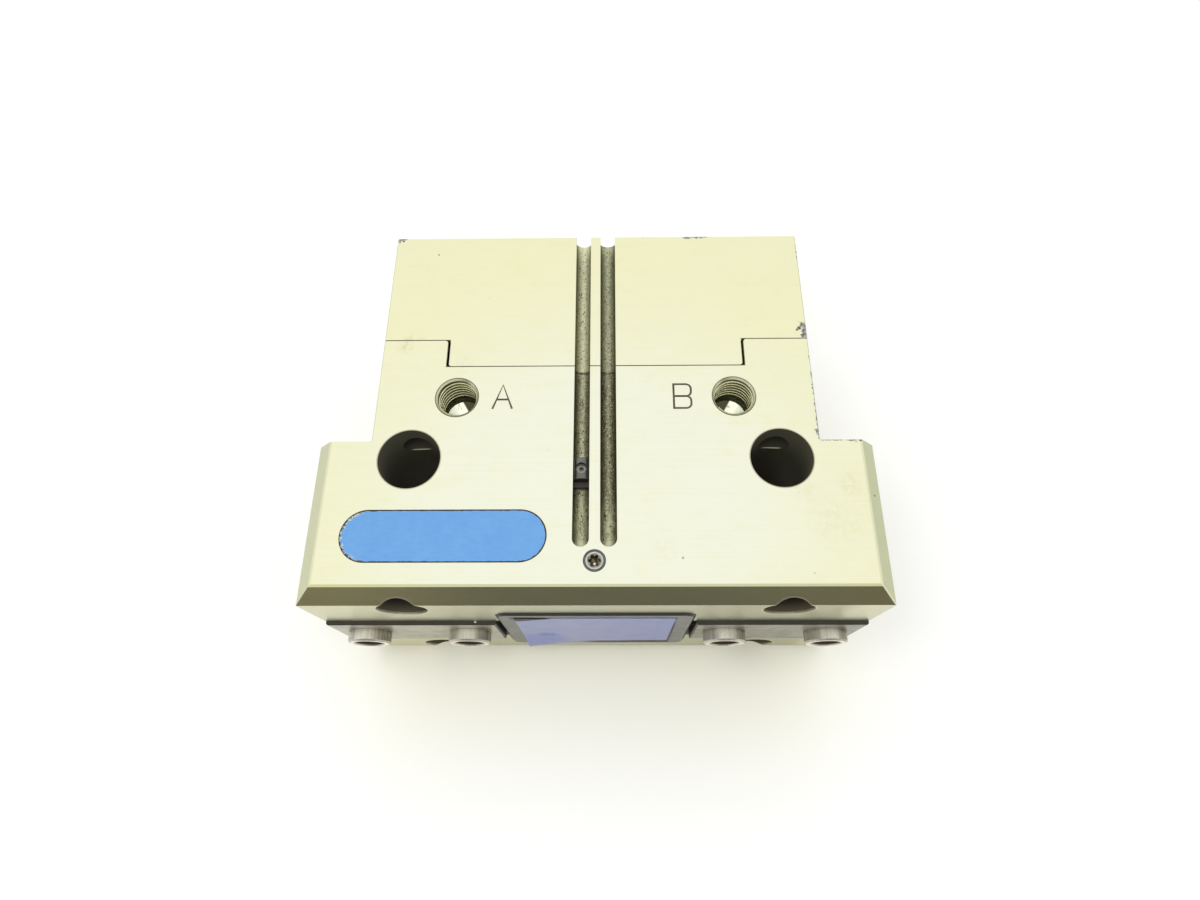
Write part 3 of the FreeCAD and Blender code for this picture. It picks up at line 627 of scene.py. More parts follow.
        # The floor's pale side; painted shade darkens the rest of the floor.
        bright = (across - along * 0.623).ease(-2.5, -2.0)
        coats = (
            (rust, srgb(112, 84, 30)),
            (z.ease(PLAN.thread_end - 0.3, PLAN.thread_end - 1.0), srgb(112, 114, 86)),
            (z.ease(PLAN.port_floor + 0.2, PLAN.port_floor), tree.blend(bright, srgb(70, 70, 50), swarf)),
            (z.ease(PLAN.top_z - 0.75, PLAN.top_z - 0.45), srgb(206, 207, 172)),
            (radius.ease(PLAN.port_radius - 0.2, PLAN.port_radius), srgb(112, 102, 78)),
        )
        # The port walls are dark: cloudy dirt, and painted shade for the thread grooves.
        tint = tree.layers(tree.blend(clouds.ease(0.35, 0.7), srgb(84, 78, 52), srgb(52, 46, 28)), coats)
        return inside * z.ease(PLAN.port_floor - 5, PLAN.port_floor - 4), tint

    def bores(self, tree: MaterialTree) -> tuple[Field, Coats]:
        """Colour the deep screw holes and the counterbores, with the holes that cross them: painted shade
        inside, and painted highlights on their edges.

        Args:
            tree: The material's tree.

        Returns:
            Where the holes are, and the coats of their rims and walls.
        """
        x, y, z = tree.spot
        along = y - PLAN.lateral_y
        lateral = (abs(x) - PLAN.lateral_x).hypot(along)
        upright = abs(z) - PLAN.mount_z
        mount = (abs(x) - PLAN.mount_x).hypot(upright)
        stained = abs(lateral - PLAN.lateral_radius).ease(0.42, 0.1)
        stained = stained * z.ease(PLAN.top_z - 0.3, PLAN.top_z - 0.02)
        # Painted highlight: a bright ring round each counterbore near the front.
        bright = abs(mount - PLAN.sunk_radius - 0.15).ease(0.3, 0.08)
        bright = bright * y.ease(PLAN.front_y + 5.1, PLAN.front_y + 4.3)
        deep = lateral.ease(PLAN.lateral_radius + 0.12, PLAN.lateral_radius + 0.02)
        deep = deep * z.ease(PLAN.top_z - 0.02, PLAN.top_z - 0.3)
        sunk = mount.ease(PLAN.sunk_radius + 0.1, PLAN.sunk_radius)
        sunk = sunk * y.inside(PLAN.front_y + 0.45, PLAN.front_y + PLAN.sunk_depth, 0.35)
        crossing = mount.ease(PLAN.mount_radius + 0.15, PLAN.mount_radius + 0.05)
        # Painted highlight: a bright arc on the lip where the screw hole meets the deep hole.
        lip = mount.ease(PLAN.mount_radius + 0.35, PLAN.mount_radius + 0.15) * upright.ease(-2.9, -4.1)
        lip = lip * lateral.ease(PLAN.lateral_radius + 0.35, PLAN.lateral_radius + 0.12)
        near = y.ease(PLAN.front_y + 4.5, PLAN.front_y + 0.8)
        # Painted shade and light in the holes: walls lighter deeper down, darker crossings, and
        # counterbores dark inside and lighter near their mouths.
        walls = (
            (z.ease(26, -4), srgb(158, 152, 134)),
            (crossing, srgb(80, 78, 64)),
            (lip * along.ease(3.5, 6.5) * 0.9, srgb(240, 242, 206)),
            (sunk, tree.blend(near, srgb(36, 34, 27), srgb(94, 88, 66))),
        )
        inside = deep.most(sunk).most(crossing)
        coats = (
            (stained * 0.6, srgb(128, 104, 70)),
            (bright * 0.6, srgb(226, 224, 190)),
            (inside, tree.layers(self.bore_shade, walls)),
        )
        return inside, coats

    def seams(self, tree: MaterialTree) -> Field:
        """Find the dirt in the joint, in the tongue's gap and around the plate.

        Args:
            tree: The material's tree.

        Returns:
            Where the dirt is.
        """
        x, y, z = tree.spot
        side = abs(x)
        tongue = PLAN.half_tongue
        outer = abs(y - PLAN.ear_y).ease(0.19, 0.08) * side.ease(tongue - 0.2, tongue)
        middle = abs(y - PLAN.joint_y).ease(0.19, 0.08) * side.ease(tongue + 0.9, tongue + 0.6)
        left = x.ease(0.1, -0.1)
        step = abs(side - (tongue + PLAN.tongue_gap / 2) - 0.08 + left * 0.08)
        step = step.ease(0.32, 0.2) + left * step.ease(0.42, 0.3)
        step = step.least(1.0) * y.inside(PLAN.joint_y, PLAN.ear_y, 0.1)
        rim = abs(PLAN.from_plate(x, y) - (PLAN.plate_radius + 0.1)).ease(0.2, 0.1)
        rim = rim * z.ease(PLAN.top_z - 3, PLAN.top_z - 2)
        patchy = tree.noise(0.5, 4.0).ease(0.2, 0.55, 0.72, 1.0)
        return outer.most(middle).most(step).most(rim) * patchy

    def chipping(self, tree: MaterialTree) -> Field:
        """Find where the coating has chipped off along the edges.

        Args:
            tree: The material's tree.

        Returns:
            Where it is chipped.
        """
        x, y, z = tree.spot
        rugged = tree.noise(0.75, 6.0, 0.72)
        coarse = tree.noise(0.22, 2.0).ease(0.3, 0.7)
        drop = PLAN.top_z - abs(z)
        total = None
        for run in self.chips:
            along, other = (x, y) if run.axis == 0 else (y, x)
            away = (other - run.edge).hypot(drop)
            patchy = coarse.most(run.share - 0.5)
            limit = (rugged - (0.62 - run.share * 0.3)) * patchy * (run.reach * 6.0)
            chip = (limit - away).ease(0.0, 0.08) * along.inside(run.start, run.end, 0.6)
            total = chip if total is None else total.most(chip)
        return total


@dataclass(frozen=True)
class SteelFinish:
    """Bare steel: ground, turned or drawn, with oil and handling marks.

    Attributes:
        name: The material's name.
        colour: The metal's colour.
        stain: The colour of its stains.
        lay: How the machining lines are stretched along each axis.
        rough: The mean roughness.
    """

    name: str
    colour: Colour
    stain: Colour
    lay: Point
    rough: float

    def build(self) -> Material:
        """Make the material.

        Returns:
            The material.
        """
        tree = MaterialTree(self.name)
        lines = tree.noise(self.lay, 3.0, 0.65)
        clouds = tree.noise(0.16, 5.0, 0.68)
        spots = tree.noise(0.9, 4.0, 0.6)
        dull, tint = self.marks(tree)
        coats = (
            (clouds.ease(0.4, 0.72) * 0.55, self.stain),
            (lines.ease(0.35, 0.7) * 0.25, self.stain),
            (spots.ease(0.66, 0.74) * 0.4, srgb(52, 48, 42)),
            (dull, tint),
        )
        return tree.dress(
            Base_Color=tree.layers(self.colour, coats),
            Metallic=1.0 - dull * 0.6,
            Roughness=self.rough + (clouds - 0.5) * 0.22 + (lines - 0.5) * 0.1 + dull * 0.1,
            Normal=tree.bump(lines * 0.7 + spots * 0.3, 0.01),
        )

    def marks(self, tree: MaterialTree) -> tuple[Field, Socket]:
        """Where the steel is dull and dirty, and the dirt's colour: here only small rust freckles."""
        tint = tree.blend(tree.noise(1.2, 2.0), srgb(70, 60, 46), srgb(96, 80, 58))
        return tree.cells(0.35).ease(0.12, 0.06) * 0.5, tint


@dataclass(frozen=True)
class JawFinish(SteelFinish):
    """The base jaws: ground front faces, with dark hardened flanks and chamfers."""

    def marks(self, tree: MaterialTree) -> tuple[Field, Socket]:
        """Find the dark flanks, the oily clouds that are heaviest on the right jaw, and a painted glint on
        the left jaw's bevel.

        Args:
            tree: The material's tree.

        Returns:
            Where the steel is dull, and its colour there.
        """
        x, y, z = tree.spot
        flank = abs(tree.facing[1]).ease(0.96, 0.78) * 0.95
        right = x.ease(-5, 5)
        oil = tree.noise((0.12, 0.3, 0.3), 4.0, 0.6, (4, 0, 2)).ease(0.3, 0.75)
        oil = (oil * (0.22 + right * 0.45)).most(right * 0.4)
        # Painted highlight: a small bright glint on the left jaw's bevel.
        nick_glint = abs(x + 34.8).ease(0.4, 0.2) * y.inside(-115.65, -115.3, 0.08)
        brown = z.ease(12.25, 12.0) * y.ease(-115.4, -115.9)
        tint = tree.layers(srgb(46, 44, 41), ((brown, srgb(44, 30, 26)), (nick_glint, srgb(250, 248, 234))))
        return flank.most(oil), tree.blend(flank, srgb(84, 82, 70), tint)


@dataclass(frozen=True)
class SleeveFinish(SteelFinish):
    """The centring sleeves: turned outside, with a dirty bore and painted shade on their sides."""

    def marks(self, tree: MaterialTree) -> tuple[Field, Socket]:
        """Find the dirt in the bore and the fine turning marks near the jaw, and paint shade on the
        sleeves' sides.

        Args:
            tree: The material's tree.

        Returns:
            Where the steel is dull, and its colour there.
        """
        x, y, z = tree.spot
        nx, ny, nz = tree.facing
        across = abs(abs(x) - PLAN.sleeve_middle) - PLAN.sleeve_half_step
        bore = across.hypot(z).ease(4.4, 4.2)
        streaks = tree.noise((1.5, 0.06, 1.5), 2.0, 0.6)
        # Painted shade: turned walls darker on their sides than top and bottom, on faces towards +x, on the
        # rightmost sleeve and towards the jaw.
        dull = 0.62 - abs(nz).ease(0.8, 0.98) * 0.46 + nx * 0.16 + x.ease(55, 62) * 0.14
        dull = dull + (streaks - 0.5) * 0.6 + y.ease(-117.4, -116.3) * 0.2
        tint = tree.blend(streaks.ease(0.4, 0.6), srgb(128, 121, 96), srgb(96, 89, 68))
        return bore.most(abs(ny).ease(0.9, 0.6) * dull), tree.blend(bore, tint, srgb(86, 76, 62))


@dataclass(frozen=True)
class PlugFinish(SteelFinish):
    """The purge plug: a bright rim, worn round the star socket, with dirt down in the star and a painted
    glint there.
    """

    def marks(self, tree: MaterialTree) -> tuple[Field, Socket]:
        """Find the dirt in the star, its painted glint and the wear around it.

        Args:
            tree: The material's tree.

        Returns:
            Where the steel is dull, and its colour there.
        """
        x, y, z = tree.spot
        across = y - PLAN.plug_y
        pit = z.ease(PLAN.top_z - 0.25, PLAN.top_z - 0.5)
        shades = tree.noise(1.3, 4.0, 0.6)
        radius = x.hypot(across) + (shades - 0.5) * 0.6
        # Painted highlight: a small bright glint on the floor of the star.
        glint = x.hypot(across + 0.45).ease(0.45, 0.2)
        dirt = tree.blend(shades.ease(0.45, 0.6), srgb(42, 38, 26), srgb(124, 116, 86))
        coats = (
            (shades.ease(0.4, 0.65), srgb(138, 132, 114)),
            (radius.ease(1.65, 1.9), srgb(160, 156, 142)),
            (pit, tree.blend(glint, dirt, srgb(250, 246, 226))),
        )
        return pit.most(radius.ease(2.15, 1.95)), tree.layers(srgb(84, 80, 64), coats)


@dataclass(frozen=True)
class CoatedFinish:
    """A coated, printed or moulded surface with fine grain, cloudy wear and marked edges.

    Attributes:
        name: The material's name.
        colour: The main colour.
        cloud: The colour of its cloudy wear.
        cloudiness: How strong that wear is.
        rough: The mean roughness.
        grain: Grains per millimetre.
        depth: The grain's depth in millimetres.
        flank: The colour of the faces away from the piece's main direction.
        axis: The main direction's axis.
        flank_share: How strongly the flanks take their colour.
        gloss: The specular level.
    """

    name: str
    colour: Colour
    cloud: Colour
    cloudiness: float
    rough: float
    grain: float = 3.0
    depth: float = 0.01
    flank: Colour = srgb(30, 30, 30)
    axis: int = 2
    flank_share: float = 0.0
    gloss: float = 0.5

    def build(self) -> Material:
        """Make the material.

        Returns:
            The material.
        """
        tree = MaterialTree(self.name)
        clouds = tree.noise(0.18, 5.0, 0.65)
        wear = tree.noise(1.4, 3.0, 0.6)
        fine = tree.noise(self.grain, 3.0, 0.6)
        coats = [
            (clouds.ease(0.35, 0.75) * self.cloudiness, self.cloud),
            (wear.ease(0.5, 0.8) * self.cloudiness * 0.5, self.cloud),
            *self.marks(tree),
        ]
        # On the cover and the clip, the flank colour paints shade on their sides.
        if self.flank_share:
            coats.append((abs(tree.facing[self.axis]).ease(0.96, 0.78) * self.flank_share, self.flank))
        return tree.dress(
            Base_Color=tree.layers(self.colour, coats),
            Roughness=self.rough + (clouds - 0.5) * 0.15 + (fine - 0.5) * 0.12,
            Specular_IOR_Level=self.gloss,
            Normal=tree.bump(fine, self.depth),
        )

    def marks(self, tree: MaterialTree) -> Coats:
        """The coats of the surface's own marks: here none."""
        return ()


@dataclass(frozen=True)
class PlateFinish(CoatedFinish):
    """The bare blue plate: printed film with a chipped, dirty rim."""

    def marks(self, tree: MaterialTree) -> Coats:
        """Wear the rim, worst at the left end.

        Args:
            tree: The material's tree.

        Returns:
            The coats of the film's weave, dirt and flakes.
        """
        x, y, _ = tree.spot
        inward = PLAN.plate_radius - PLAN.from_plate(x, y)
        left = x.ease(PLAN.plate_x - 14, PLAN.plate_x - 27, 0.25, 1.0)
        reach = (tree.noise(0.9, 5.0, 0.7) - 0.42).most(0.0) * left * 2.8 + 0.12
        flakes = inward.ease(1.0, 0.5) * x.ease(PLAN.plate_x - 19, PLAN.plate_x - 25)
        flakes = flakes * tree.noise(1.7).ease(0.5, 0.58)
        weave = tree.noise((0.3, 4.0, 4.0), 2.0)
        return (
            (weave.ease(0.4, 0.7) * 0.3, srgb(72, 130, 190)),
            ((reach - inward).ease(0.0, 0.06), srgb(66, 52, 44)),
            (flakes * 0.85, srgb(206, 202, 186)),
        )


@dataclass(frozen=True)
class CoverFinish(CoatedFinish):
    """The centre cover: a blasted grey coating with residue at the label's upper left corner, and painted
    shade on its sides.
    """

    def marks(self, tree: MaterialTree) -> Coats:
        """Speckle the coating and blacken a line above the label's corner.

        Args:
            tree: The material's tree.

        Returns:
            The coats of the speckles and of the residue.
        """
        x, _, z = tree.spot
        speckle = tree.noise(2.4, 2.0)
        above = z.inside(18.2, 21.4, 0.3) * x.inside(-23.9, -14.0, 0.4) * x.ease(-12, -22, 0.4, 1.0)
        return (
            (speckle.ease(0.5, 0.64) * 0.5, srgb(66, 66, 62)),
            (speckle.ease(0.44, 0.34) * 0.5, srgb(178, 177, 166)),
            (above, srgb(14, 12, 10)),
        )


@dataclass(frozen=True)
class ClipFinish(CoatedFinish):
    """The clamping piece: grey on top, with painted shade on its sides and painted shadow on its nose down
    in the slot.
    """

    def marks(self, tree: MaterialTree) -> Coats:
        """The coat of painted shadow on the nose."""
        return ((tree.spot[2].ease(37.4, 36.6) * 0.92, srgb(60, 58, 48)),)


@dataclass(frozen=True)
class LabelFinish(CoatedFinish):
    """The bare label: faded film with stains at the left, dark residue along its upper left edge and
    painted shadow along its right and lower edges.
    """

    def marks(self, tree: MaterialTree) -> Coats:
        """Stain the film at the left, draw the dark residue along its upper left edge, and paint shadow
        along its right and lower edges.

        Args:
            tree: The material's tree.

        Returns:
            The coats of the stains, the residue, the painted shadow and the scratches.
        """
        x, _, z = tree.spot
        ragged = tree.noise(0.5, 5.0, 0.7)
        damp = ((x + 17.0) * math.sqrt(0.5)).hypot((z + 13.0) * math.sqrt(0.35)) + (ragged - 0.5) * 7.0
        smear = ((x + 15.0) * math.sqrt(0.5)).hypot((z + 5.7) * math.sqrt(0.5)) + (ragged - 0.5) * 3.0
        top = (20.2 - z) - (ragged - 0.4) * 2.4 - x.ease(-13, -22) * 3.0
        # Painted shadow along the label's right and lower edges.
        beside = x.ease(22.0, 22.25) * z.ease(18.5, 8.0, 0.55, 1.0)
        below = (z - (ragged - 0.5) * 1.4 + x.ease(20, -4) * 1.2).ease(-16.8, -17.4) * x.ease(-9, 1)
        scratch = tree.noise((0.25, 1.0, 1.6), 4.0, 0.7, (3, 0, 9))
        return (
            (damp.ease(6.5, 4.0) * 0.55, srgb(124, 131, 196)),
            (x.ease(-8, 22) * 0.45, srgb(130, 138, 188)),
            (smear.ease(3.2, 0.8) * 0.7, srgb(92, 110, 180)),
            (top.ease(0.7, 0.2) * x.ease(-12, -14), srgb(14, 12, 10)),
            (beside.most(below), srgb(20, 17, 34)),
            (scratch.ease(0.64, 0.7) * 0.45, srgb(186, 190, 205)),
        )


Finish = Union[AnodisedFinish, SteelFinish, CoatedFinish]


def new_piece(name: str, data: bpy.types.ID) -> Piece:
    """Put a mesh or curve into the scene as an object at the origin.

    Args:
        name: The object's name.
        data: Its mesh or curve, already in its place.

    Returns:
        The object.
    """
    piece = bpy.data.objects.new(name, data)
    bpy.context.scene.collection.objects.link(piece)
    return piece


def settle(piece: Piece, body: str, slot: str, *nodes: str) -> None:
    """Let a piece ride on a body and hide the nodes that it stands for.

    Args:
        piece: The piece.
        body: The body that carries it.
        slot: The record's material slot; not used.
        nodes: The nodes that it replaces.
    """
    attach(piece, body)
    if nodes:
        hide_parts(*nodes)
    LOG.info("piece %s rides on %s", piece.name, body)


def shade_smooth(mesh: Mesh) -> None:
    """Smooth the shading of a mesh's faces."""
    mesh.polygons.foreach_set("use_smooth", [True] * len(mesh.polygons))


def plain_mesh(holder: Piece, name: str) -> Mesh:
    """Turn an object with its modifiers or bevel into a plain mesh.

    Args:
        holder: The object, which is removed.
        name: The mesh's name.

    Returns:
        The mesh.
    """
    holder.update_tag()
    graph = bpy.context.evaluated_depsgraph_get()
    graph.update()
    mesh = bpy.data.meshes.new_from_object(holder.evaluated_get(graph), depsgraph=graph)
    mesh.name = name
    bpy.data.objects.remove(holder)
    return mesh


class GeometryTree(NodeTree):
    """A Geometry Nodes tree with named inputs, made into a plain mesh."""

    def __init__(self, name: str) -> None:
        """Start a tree with a geometry input and output.

        Args:
            name: The tree's name.
        """
        super().__init__(bpy.data.node_groups.new(name, "GeometryNodeTree"))
        for way in ("INPUT", "OUTPUT"):
            self.tree.interface.new_socket("Geometry", in_out=way, socket_type="NodeSocketGeometry")
        self.name = name
        self.values: dict[str, object] = {}
        self.source = self.add("NodeGroupInput")
        self.result = self.add("NodeGroupOutput")

    def size(self, name: str, kind: str, value: object) -> Socket:
        """Add a named input.

        Args:
            name: The input's name.
            kind: Its socket type, such as Float or Int.
            value: The value that the modifier gives it.

        Returns:
            The input's socket inside the tree.
        """
        socket = self.tree.interface.new_socket(name, in_out="INPUT", socket_type="NodeSocket" + kind)
        self.values[socket.identifier] = value
        return self.source.outputs[name]

    def mesh(self, geometry: Socket, material: Material, carrier: Mesh) -> Mesh:
        """End the tree in Realize Instances and Set Material, and run it.

        Args:
            geometry: The tree's last geometry.
            material: The finish that it gets.
            carrier: The mesh that the tree reads.

        Returns:
            The result as a plain mesh.
        """
        real = self.add("GeometryNodeRealizeInstances", None, {"Geometry": geometry})
        sockets = {"Geometry": real.outputs[0], "Material": material}
        self.feed(self.result.inputs[0], self.add("GeometryNodeSetMaterial", None, sockets).outputs[0])
        holder = new_piece(self.name + "_holder", carrier)
        modifier = holder.modifiers.new("shape", "NODES")
        modifier.node_group = self.tree
        for identifier, value in self.values.items():
            modifier[identifier] = value
        return plain_mesh(holder, self.name)


@dataclass
class Helix:
    """A round wire wound on a cylinder, set on one or more points by Geometry Nodes.

    Attributes:
        name: The piece's name.
        radius: The cylinder's radius to the wire's middle.
        wire: The wire's radius.
        length: The length along the axis.
        turns: The number of turns.
        steps: The steps in one turn.
        sides: The sides of the wire's section.
        turned: Whether the axis lies along Y instead of Z.
    """

    name: str
    radius: float
    wire: float
    length: float
    turns: float
    steps: int
    sides: int = 6
    turned: bool = True

    def build(self, feet: Iterable[Point], material: Material) -> Piece:
        """Wind the wire from each foot.

        Args:
            feet: The places where it starts.
            material: Its finish.

        Returns:
            The piece.
        """
        tree = GeometryTree(self.name)
        spiral = tree.add(
            "GeometryNodeCurveSpiral",
            None,
            {
                "Resolution": tree.size("Steps", "Int", self.steps),
                "Rotations": tree.size("Turns", "Float", self.turns),
                "Start Radius": tree.size("Start Radius", "Float", self.radius * MM),
                "End Radius": tree.size("End Radius", "Float", self.radius * MM),
                "Height": tree.size("Length", "Float", self.length * MM),
            },
        )
        section = tree.add(
            "GeometryNodeCurvePrimitiveCircle",
            None,
            {
                "Resolution": tree.size("Sides", "Int", self.sides),
                "Radius": tree.size("Wire Radius", "Float", self.wire * MM),
            },
        )
        sockets = {"Curve": spiral.outputs[0], "Profile Curve": section.outputs[0], "Fill Caps": True}
        wound = tree.add("GeometryNodeCurveToMesh", None, sockets)
        turn = (-math.pi / 2 if self.turned else 0.0, 0.0, 0.0)
        sockets = {
            "Points": tree.source.outputs["Geometry"],
            "Instance": wound.outputs[0],
            "Rotation": tree.size("Turn", "Rotation", turn),
        }
        spread = tree.add("GeometryNodeInstanceOnPoints", None, sockets)
        carrier = bpy.data.meshes.new(self.name + "_feet")
        carrier.from_pydata([Vector(foot) * MM for foot in feet], [], [])
        mesh = tree.mesh(spread.outputs[0], material, carrier)
        shade_smooth(mesh)
        return new_piece(self.name, mesh)


@dataclass
class Grit:
    """Dirt crumbs strewn by Geometry Nodes on the round floors of the sensor slots, below the clip's path.

    Attributes:
        axis_z: The level of the axis that the slot's floor is round.
        floor_radius: The floor's radius, less what the crumbs' middles stand off it.
        half_width: Half the width of the strip that holds crumbs.
        columns: The strip's columns of faces.
        start: The strip's front end.
        end: Its rear end.
        density: Crumbs per square metre.
        crumb: A crumb's radius.
        smallest: The smallest crumb's share of that radius along each axis.
        largest: The largest crumb's.
        seed: The scatter's seed.
    """

    axis_z: float = 36.0
    floor_radius: float = 2.58
    half_width: float = 0.75
    columns: int = 6
    start: float = -98.5
    end: float = -4.0
    density: float = 200000.0
    crumb: float = 0.15
    smallest: Point = (0.35, 0.35, 0.2)
    largest: Point = (1.5, 2.2, 0.45)
    seed: int = 7

    def strips(self) -> Mesh:
        """Make the two strips that carry the crumbs.

        Returns:
            Their mesh.
        """
        corners = []
        faces = []
        for _, side in SIDES:
            first = len(corners)
            for column in range(self.columns + 1):
                across = self.half_width * (2 * column / self.columns - 1)
                level = self.axis_z - math.sqrt(self.floor_radius**2 - across**2)
                for along in (self.start, self.end):
                    corners.append(Vector((side * PLAN.slot_x + across, along, level)) * MM)
            for near in range(first, first + 2 * self.columns, 2):
                faces.append((near, near + 2, near + 3, near + 1))
        mesh = bpy.data.meshes.new("slot_floors")
        mesh.from_pydata(corners, [], faces)
        return mesh

    def build(self, material: Material) -> Piece:
        """Strew the crumbs.

        Args:
            material: Their finish.

        Returns:
            The piece.
        """
        tree = GeometryTree("slot_grit")
        sockets = {
            "Mesh": tree.source.outputs["Geometry"],
            "Density": tree.size("Density", "Float", self.density),
            "Seed": tree.size("Seed", "Int", self.seed),
        }
        spread = tree.add("GeometryNodeDistributePointsOnFaces", {"distribute_method": "RANDOM"}, sockets)
        sockets = {"Radius": tree.size("Crumb", "Float", self.crumb * MM), "Subdivisions": 1}
        crumb = tree.add("GeometryNodeMeshIcoSphere", None, sockets)
        sockets = {0: self.smallest, 1: self.largest, "Seed": self.seed}
        sizes = tree.add("FunctionNodeRandomValue", {"data_type": "FLOAT_VECTOR"}, sockets)
        sockets = {
            "Points": spread.outputs["Points"],
            "Instance": crumb.outputs[0],
            "Rotation": spread.outputs["Rotation"],
            "Scale": sizes.outputs[0],
        }
        placed = tree.add("GeometryNodeInstanceOnPoints", None, sockets)
        return new_piece("slot_grit", tree.mesh(placed.outputs[0], material, self.strips()))


@dataclass
class Lettering:
    """The two port letters, cut with a round tool and filled with dirt.

    Attributes:
        stroke: Half the width of a stroke.
        crown: How much of the stroke's section stays above the face.
        top: The letters' upper ends.
        foot: Their lower ends.
        corners: The left foot, tip and right foot of the first letter.
        bar: The level of its bar.
        stem: The second letter's stem.
        waist: The level where its bows meet.
        far: The bows' far side.
        bend: The radius of the bows' corners.
    """

    stroke: float = 0.3
    crown: float = 0.05
    top: float = -52.5
    foot: float = -60.1
    corners: Point = (-29.23, -26.48, -23.63)
    bar: float = -57.14
    stem: float = 22.45
    waist: float = -56.32
    far: float = 27.4
    bend: float = 1.45

    def strokes(self) -> list[list[tuple[float, float]]]:
        """Draw the letters in plan.

        Returns:
            The points of each stroke.
        """
        left, tip, right = self.corners
        inset = (tip - left) / (self.top - self.foot) * (self.bar - self.foot)
        return [
            [(left, self.foot), (tip, self.top), (right, self.foot)],
            [(left + inset, self.bar), (right - inset, self.bar)],
            [(self.stem, self.top + self.stroke), (self.stem, self.foot - self.stroke)],
            self.bow(self.top, self.waist),
            self.bow(self.waist, self.foot),
        ]

    def bow(self, high: float, low: float) -> list[tuple[float, float]]:
        """Draw one bow of the second letter, as a straight run, two rounded corners and a run back.

        Args:
            high: Its upper level.
            low: Its lower level.

        Returns:
            The bow's points.
        """
        points = [(self.stem, high)]
        for centre, first in ((high - self.bend, 90), (low + self.bend, 0)):
            for turn in range(first, first - 91, -15):
                angle = math.radians(turn)
                x = self.far - self.bend + self.bend * math.cos(angle)
                points.append((x, centre + self.bend * math.sin(angle)))
        return points + [(self.stem, low)]

    def build(self, material: Material) -> Piece:
        """Make the letters as one mesh.

        Args:
            material: Their finish.

        Returns:
            The piece.
        """
        curve = bpy.data.curves.new("port_letters", "CURVE")
        curve.dimensions = "3D"
        curve.bevel_depth = self.stroke * MM
        curve.bevel_resolution = 2
        curve.use_fill_caps = True
        for stroke in self.strokes():
            spline = curve.splines.new("POLY")
            spline.points.add(len(stroke) - 1)
            for point, (x, y) in zip(spline.points, stroke):
                point.co = (x * MM, y * MM, 0.0, 1.0)
        mesh = plain_mesh(new_piece("port_letters_curve", curve), "port_letters")
        for vertex in mesh.vertices:
            vertex.co.z = PLAN.top_z * MM + vertex.co.z * self.crown
        mesh.materials.clear()
        mesh.materials.append(material)
        shade_smooth(mesh)
        return new_piece("port_letters", mesh)


@dataclass
class PeeledLabel:
    """The label on the centre cover, whose lower left corner has come loose.

    Attributes:
        left: Its left edge.
        right: Its right edge.
        foot: Its lower edge.
        head: Its upper edge.
        back_y: The face that it sticks to.
        film: Its thickness.
        reach_x: How far from the corner it is loose along the lower edge.
        reach_z: How far it is loose along the left edge.
        lift: How far the corner stands off.
        curl: How sharply it bends away.
        slip_x: How far the loose corner has moved to the right.
        slip_z: How far it has moved down.
        ripple: The depth of the loose film's waves.
        columns: The columns of its mesh.
        rows: The rows of its mesh.
    """

    left: float = -22.8
    right: float = 22.8
    foot: float = -21.8
    head: float = 20.2
    back_y: float = -115.8
    film: float = 0.2
    reach_x: float = 17.0
    reach_z: float = 22.0
    lift: float = 1.25
    curl: float = 1.7
    slip_x: float = 0.35
    slip_z: float = 0.6
    ripple: float = 0.05
    columns: int = 46
    rows: int = 42

    def place(self, column: int, row: int, depth: float) -> Vector:
        """Find a point of the film.

        Args:
            column: Its column.
            row: Its row.
            depth: How far it stands off the face that the film sticks to.

        Returns:
            The point in metres.
        """
        x = self.left + (self.right - self.left) * column / self.columns
        z = self.foot + (self.head - self.foot) * row / self.rows
        loose = max(0.0, 1 - (x - self.left) / self.reach_x - (z - self.foot) / self.reach_z)
        wave = self.ripple * math.sin(x * 0.9 + z * 0.4) * loose
        y = self.back_y - depth - self.lift * loose**self.curl - wave
        return Vector((x + self.slip_x * loose, y, z - self.slip_z * loose**2)) * MM

    def build(self, material: Material) -> Piece:
        """Make the film as a closed sheet.

        Args:
            material: Its finish.

        Returns:
            The piece.
        """
        form = bmesh.new()
        layers = []
        across = range(self.columns + 1)
        upward = range(self.rows + 1)
        for depth in (self.film, self.film * 0.25):
            layers.append([[form.verts.new(self.place(k, r, depth)) for k in across] for r in upward])
        front, back = layers
        for r in range(self.rows):
            for k in range(self.columns):
                form.faces.new((front[r][k], front[r][k + 1], front[r + 1][k + 1], front[r + 1][k]))
                form.faces.new((back[r][k], back[r + 1][k], back[r + 1][k + 1], back[r][k + 1]))
        rim = [(0, k) for k in across[:-1]] + [(r, self.columns) for r in upward[:-1]]
        rim += [(self.rows, k) for k in across[:0:-1]] + [(r, 0) for r in upward[:0:-1]]
        for (r0, k0), (r1, k1) in zip(rim, rim[1:] + rim[:1]):
            form.faces.new((front[r0][k0], back[r0][k0], back[r1][k1], front[r1][k1]))
        bmesh.ops.recalc_face_normals(form, faces=form.faces)
        mesh = bpy.data.meshes.new("peeled_label")
        form.to_mesh(mesh)
        form.free()
        mesh.materials.append(material)
        return new_piece("peeled_label", mesh)


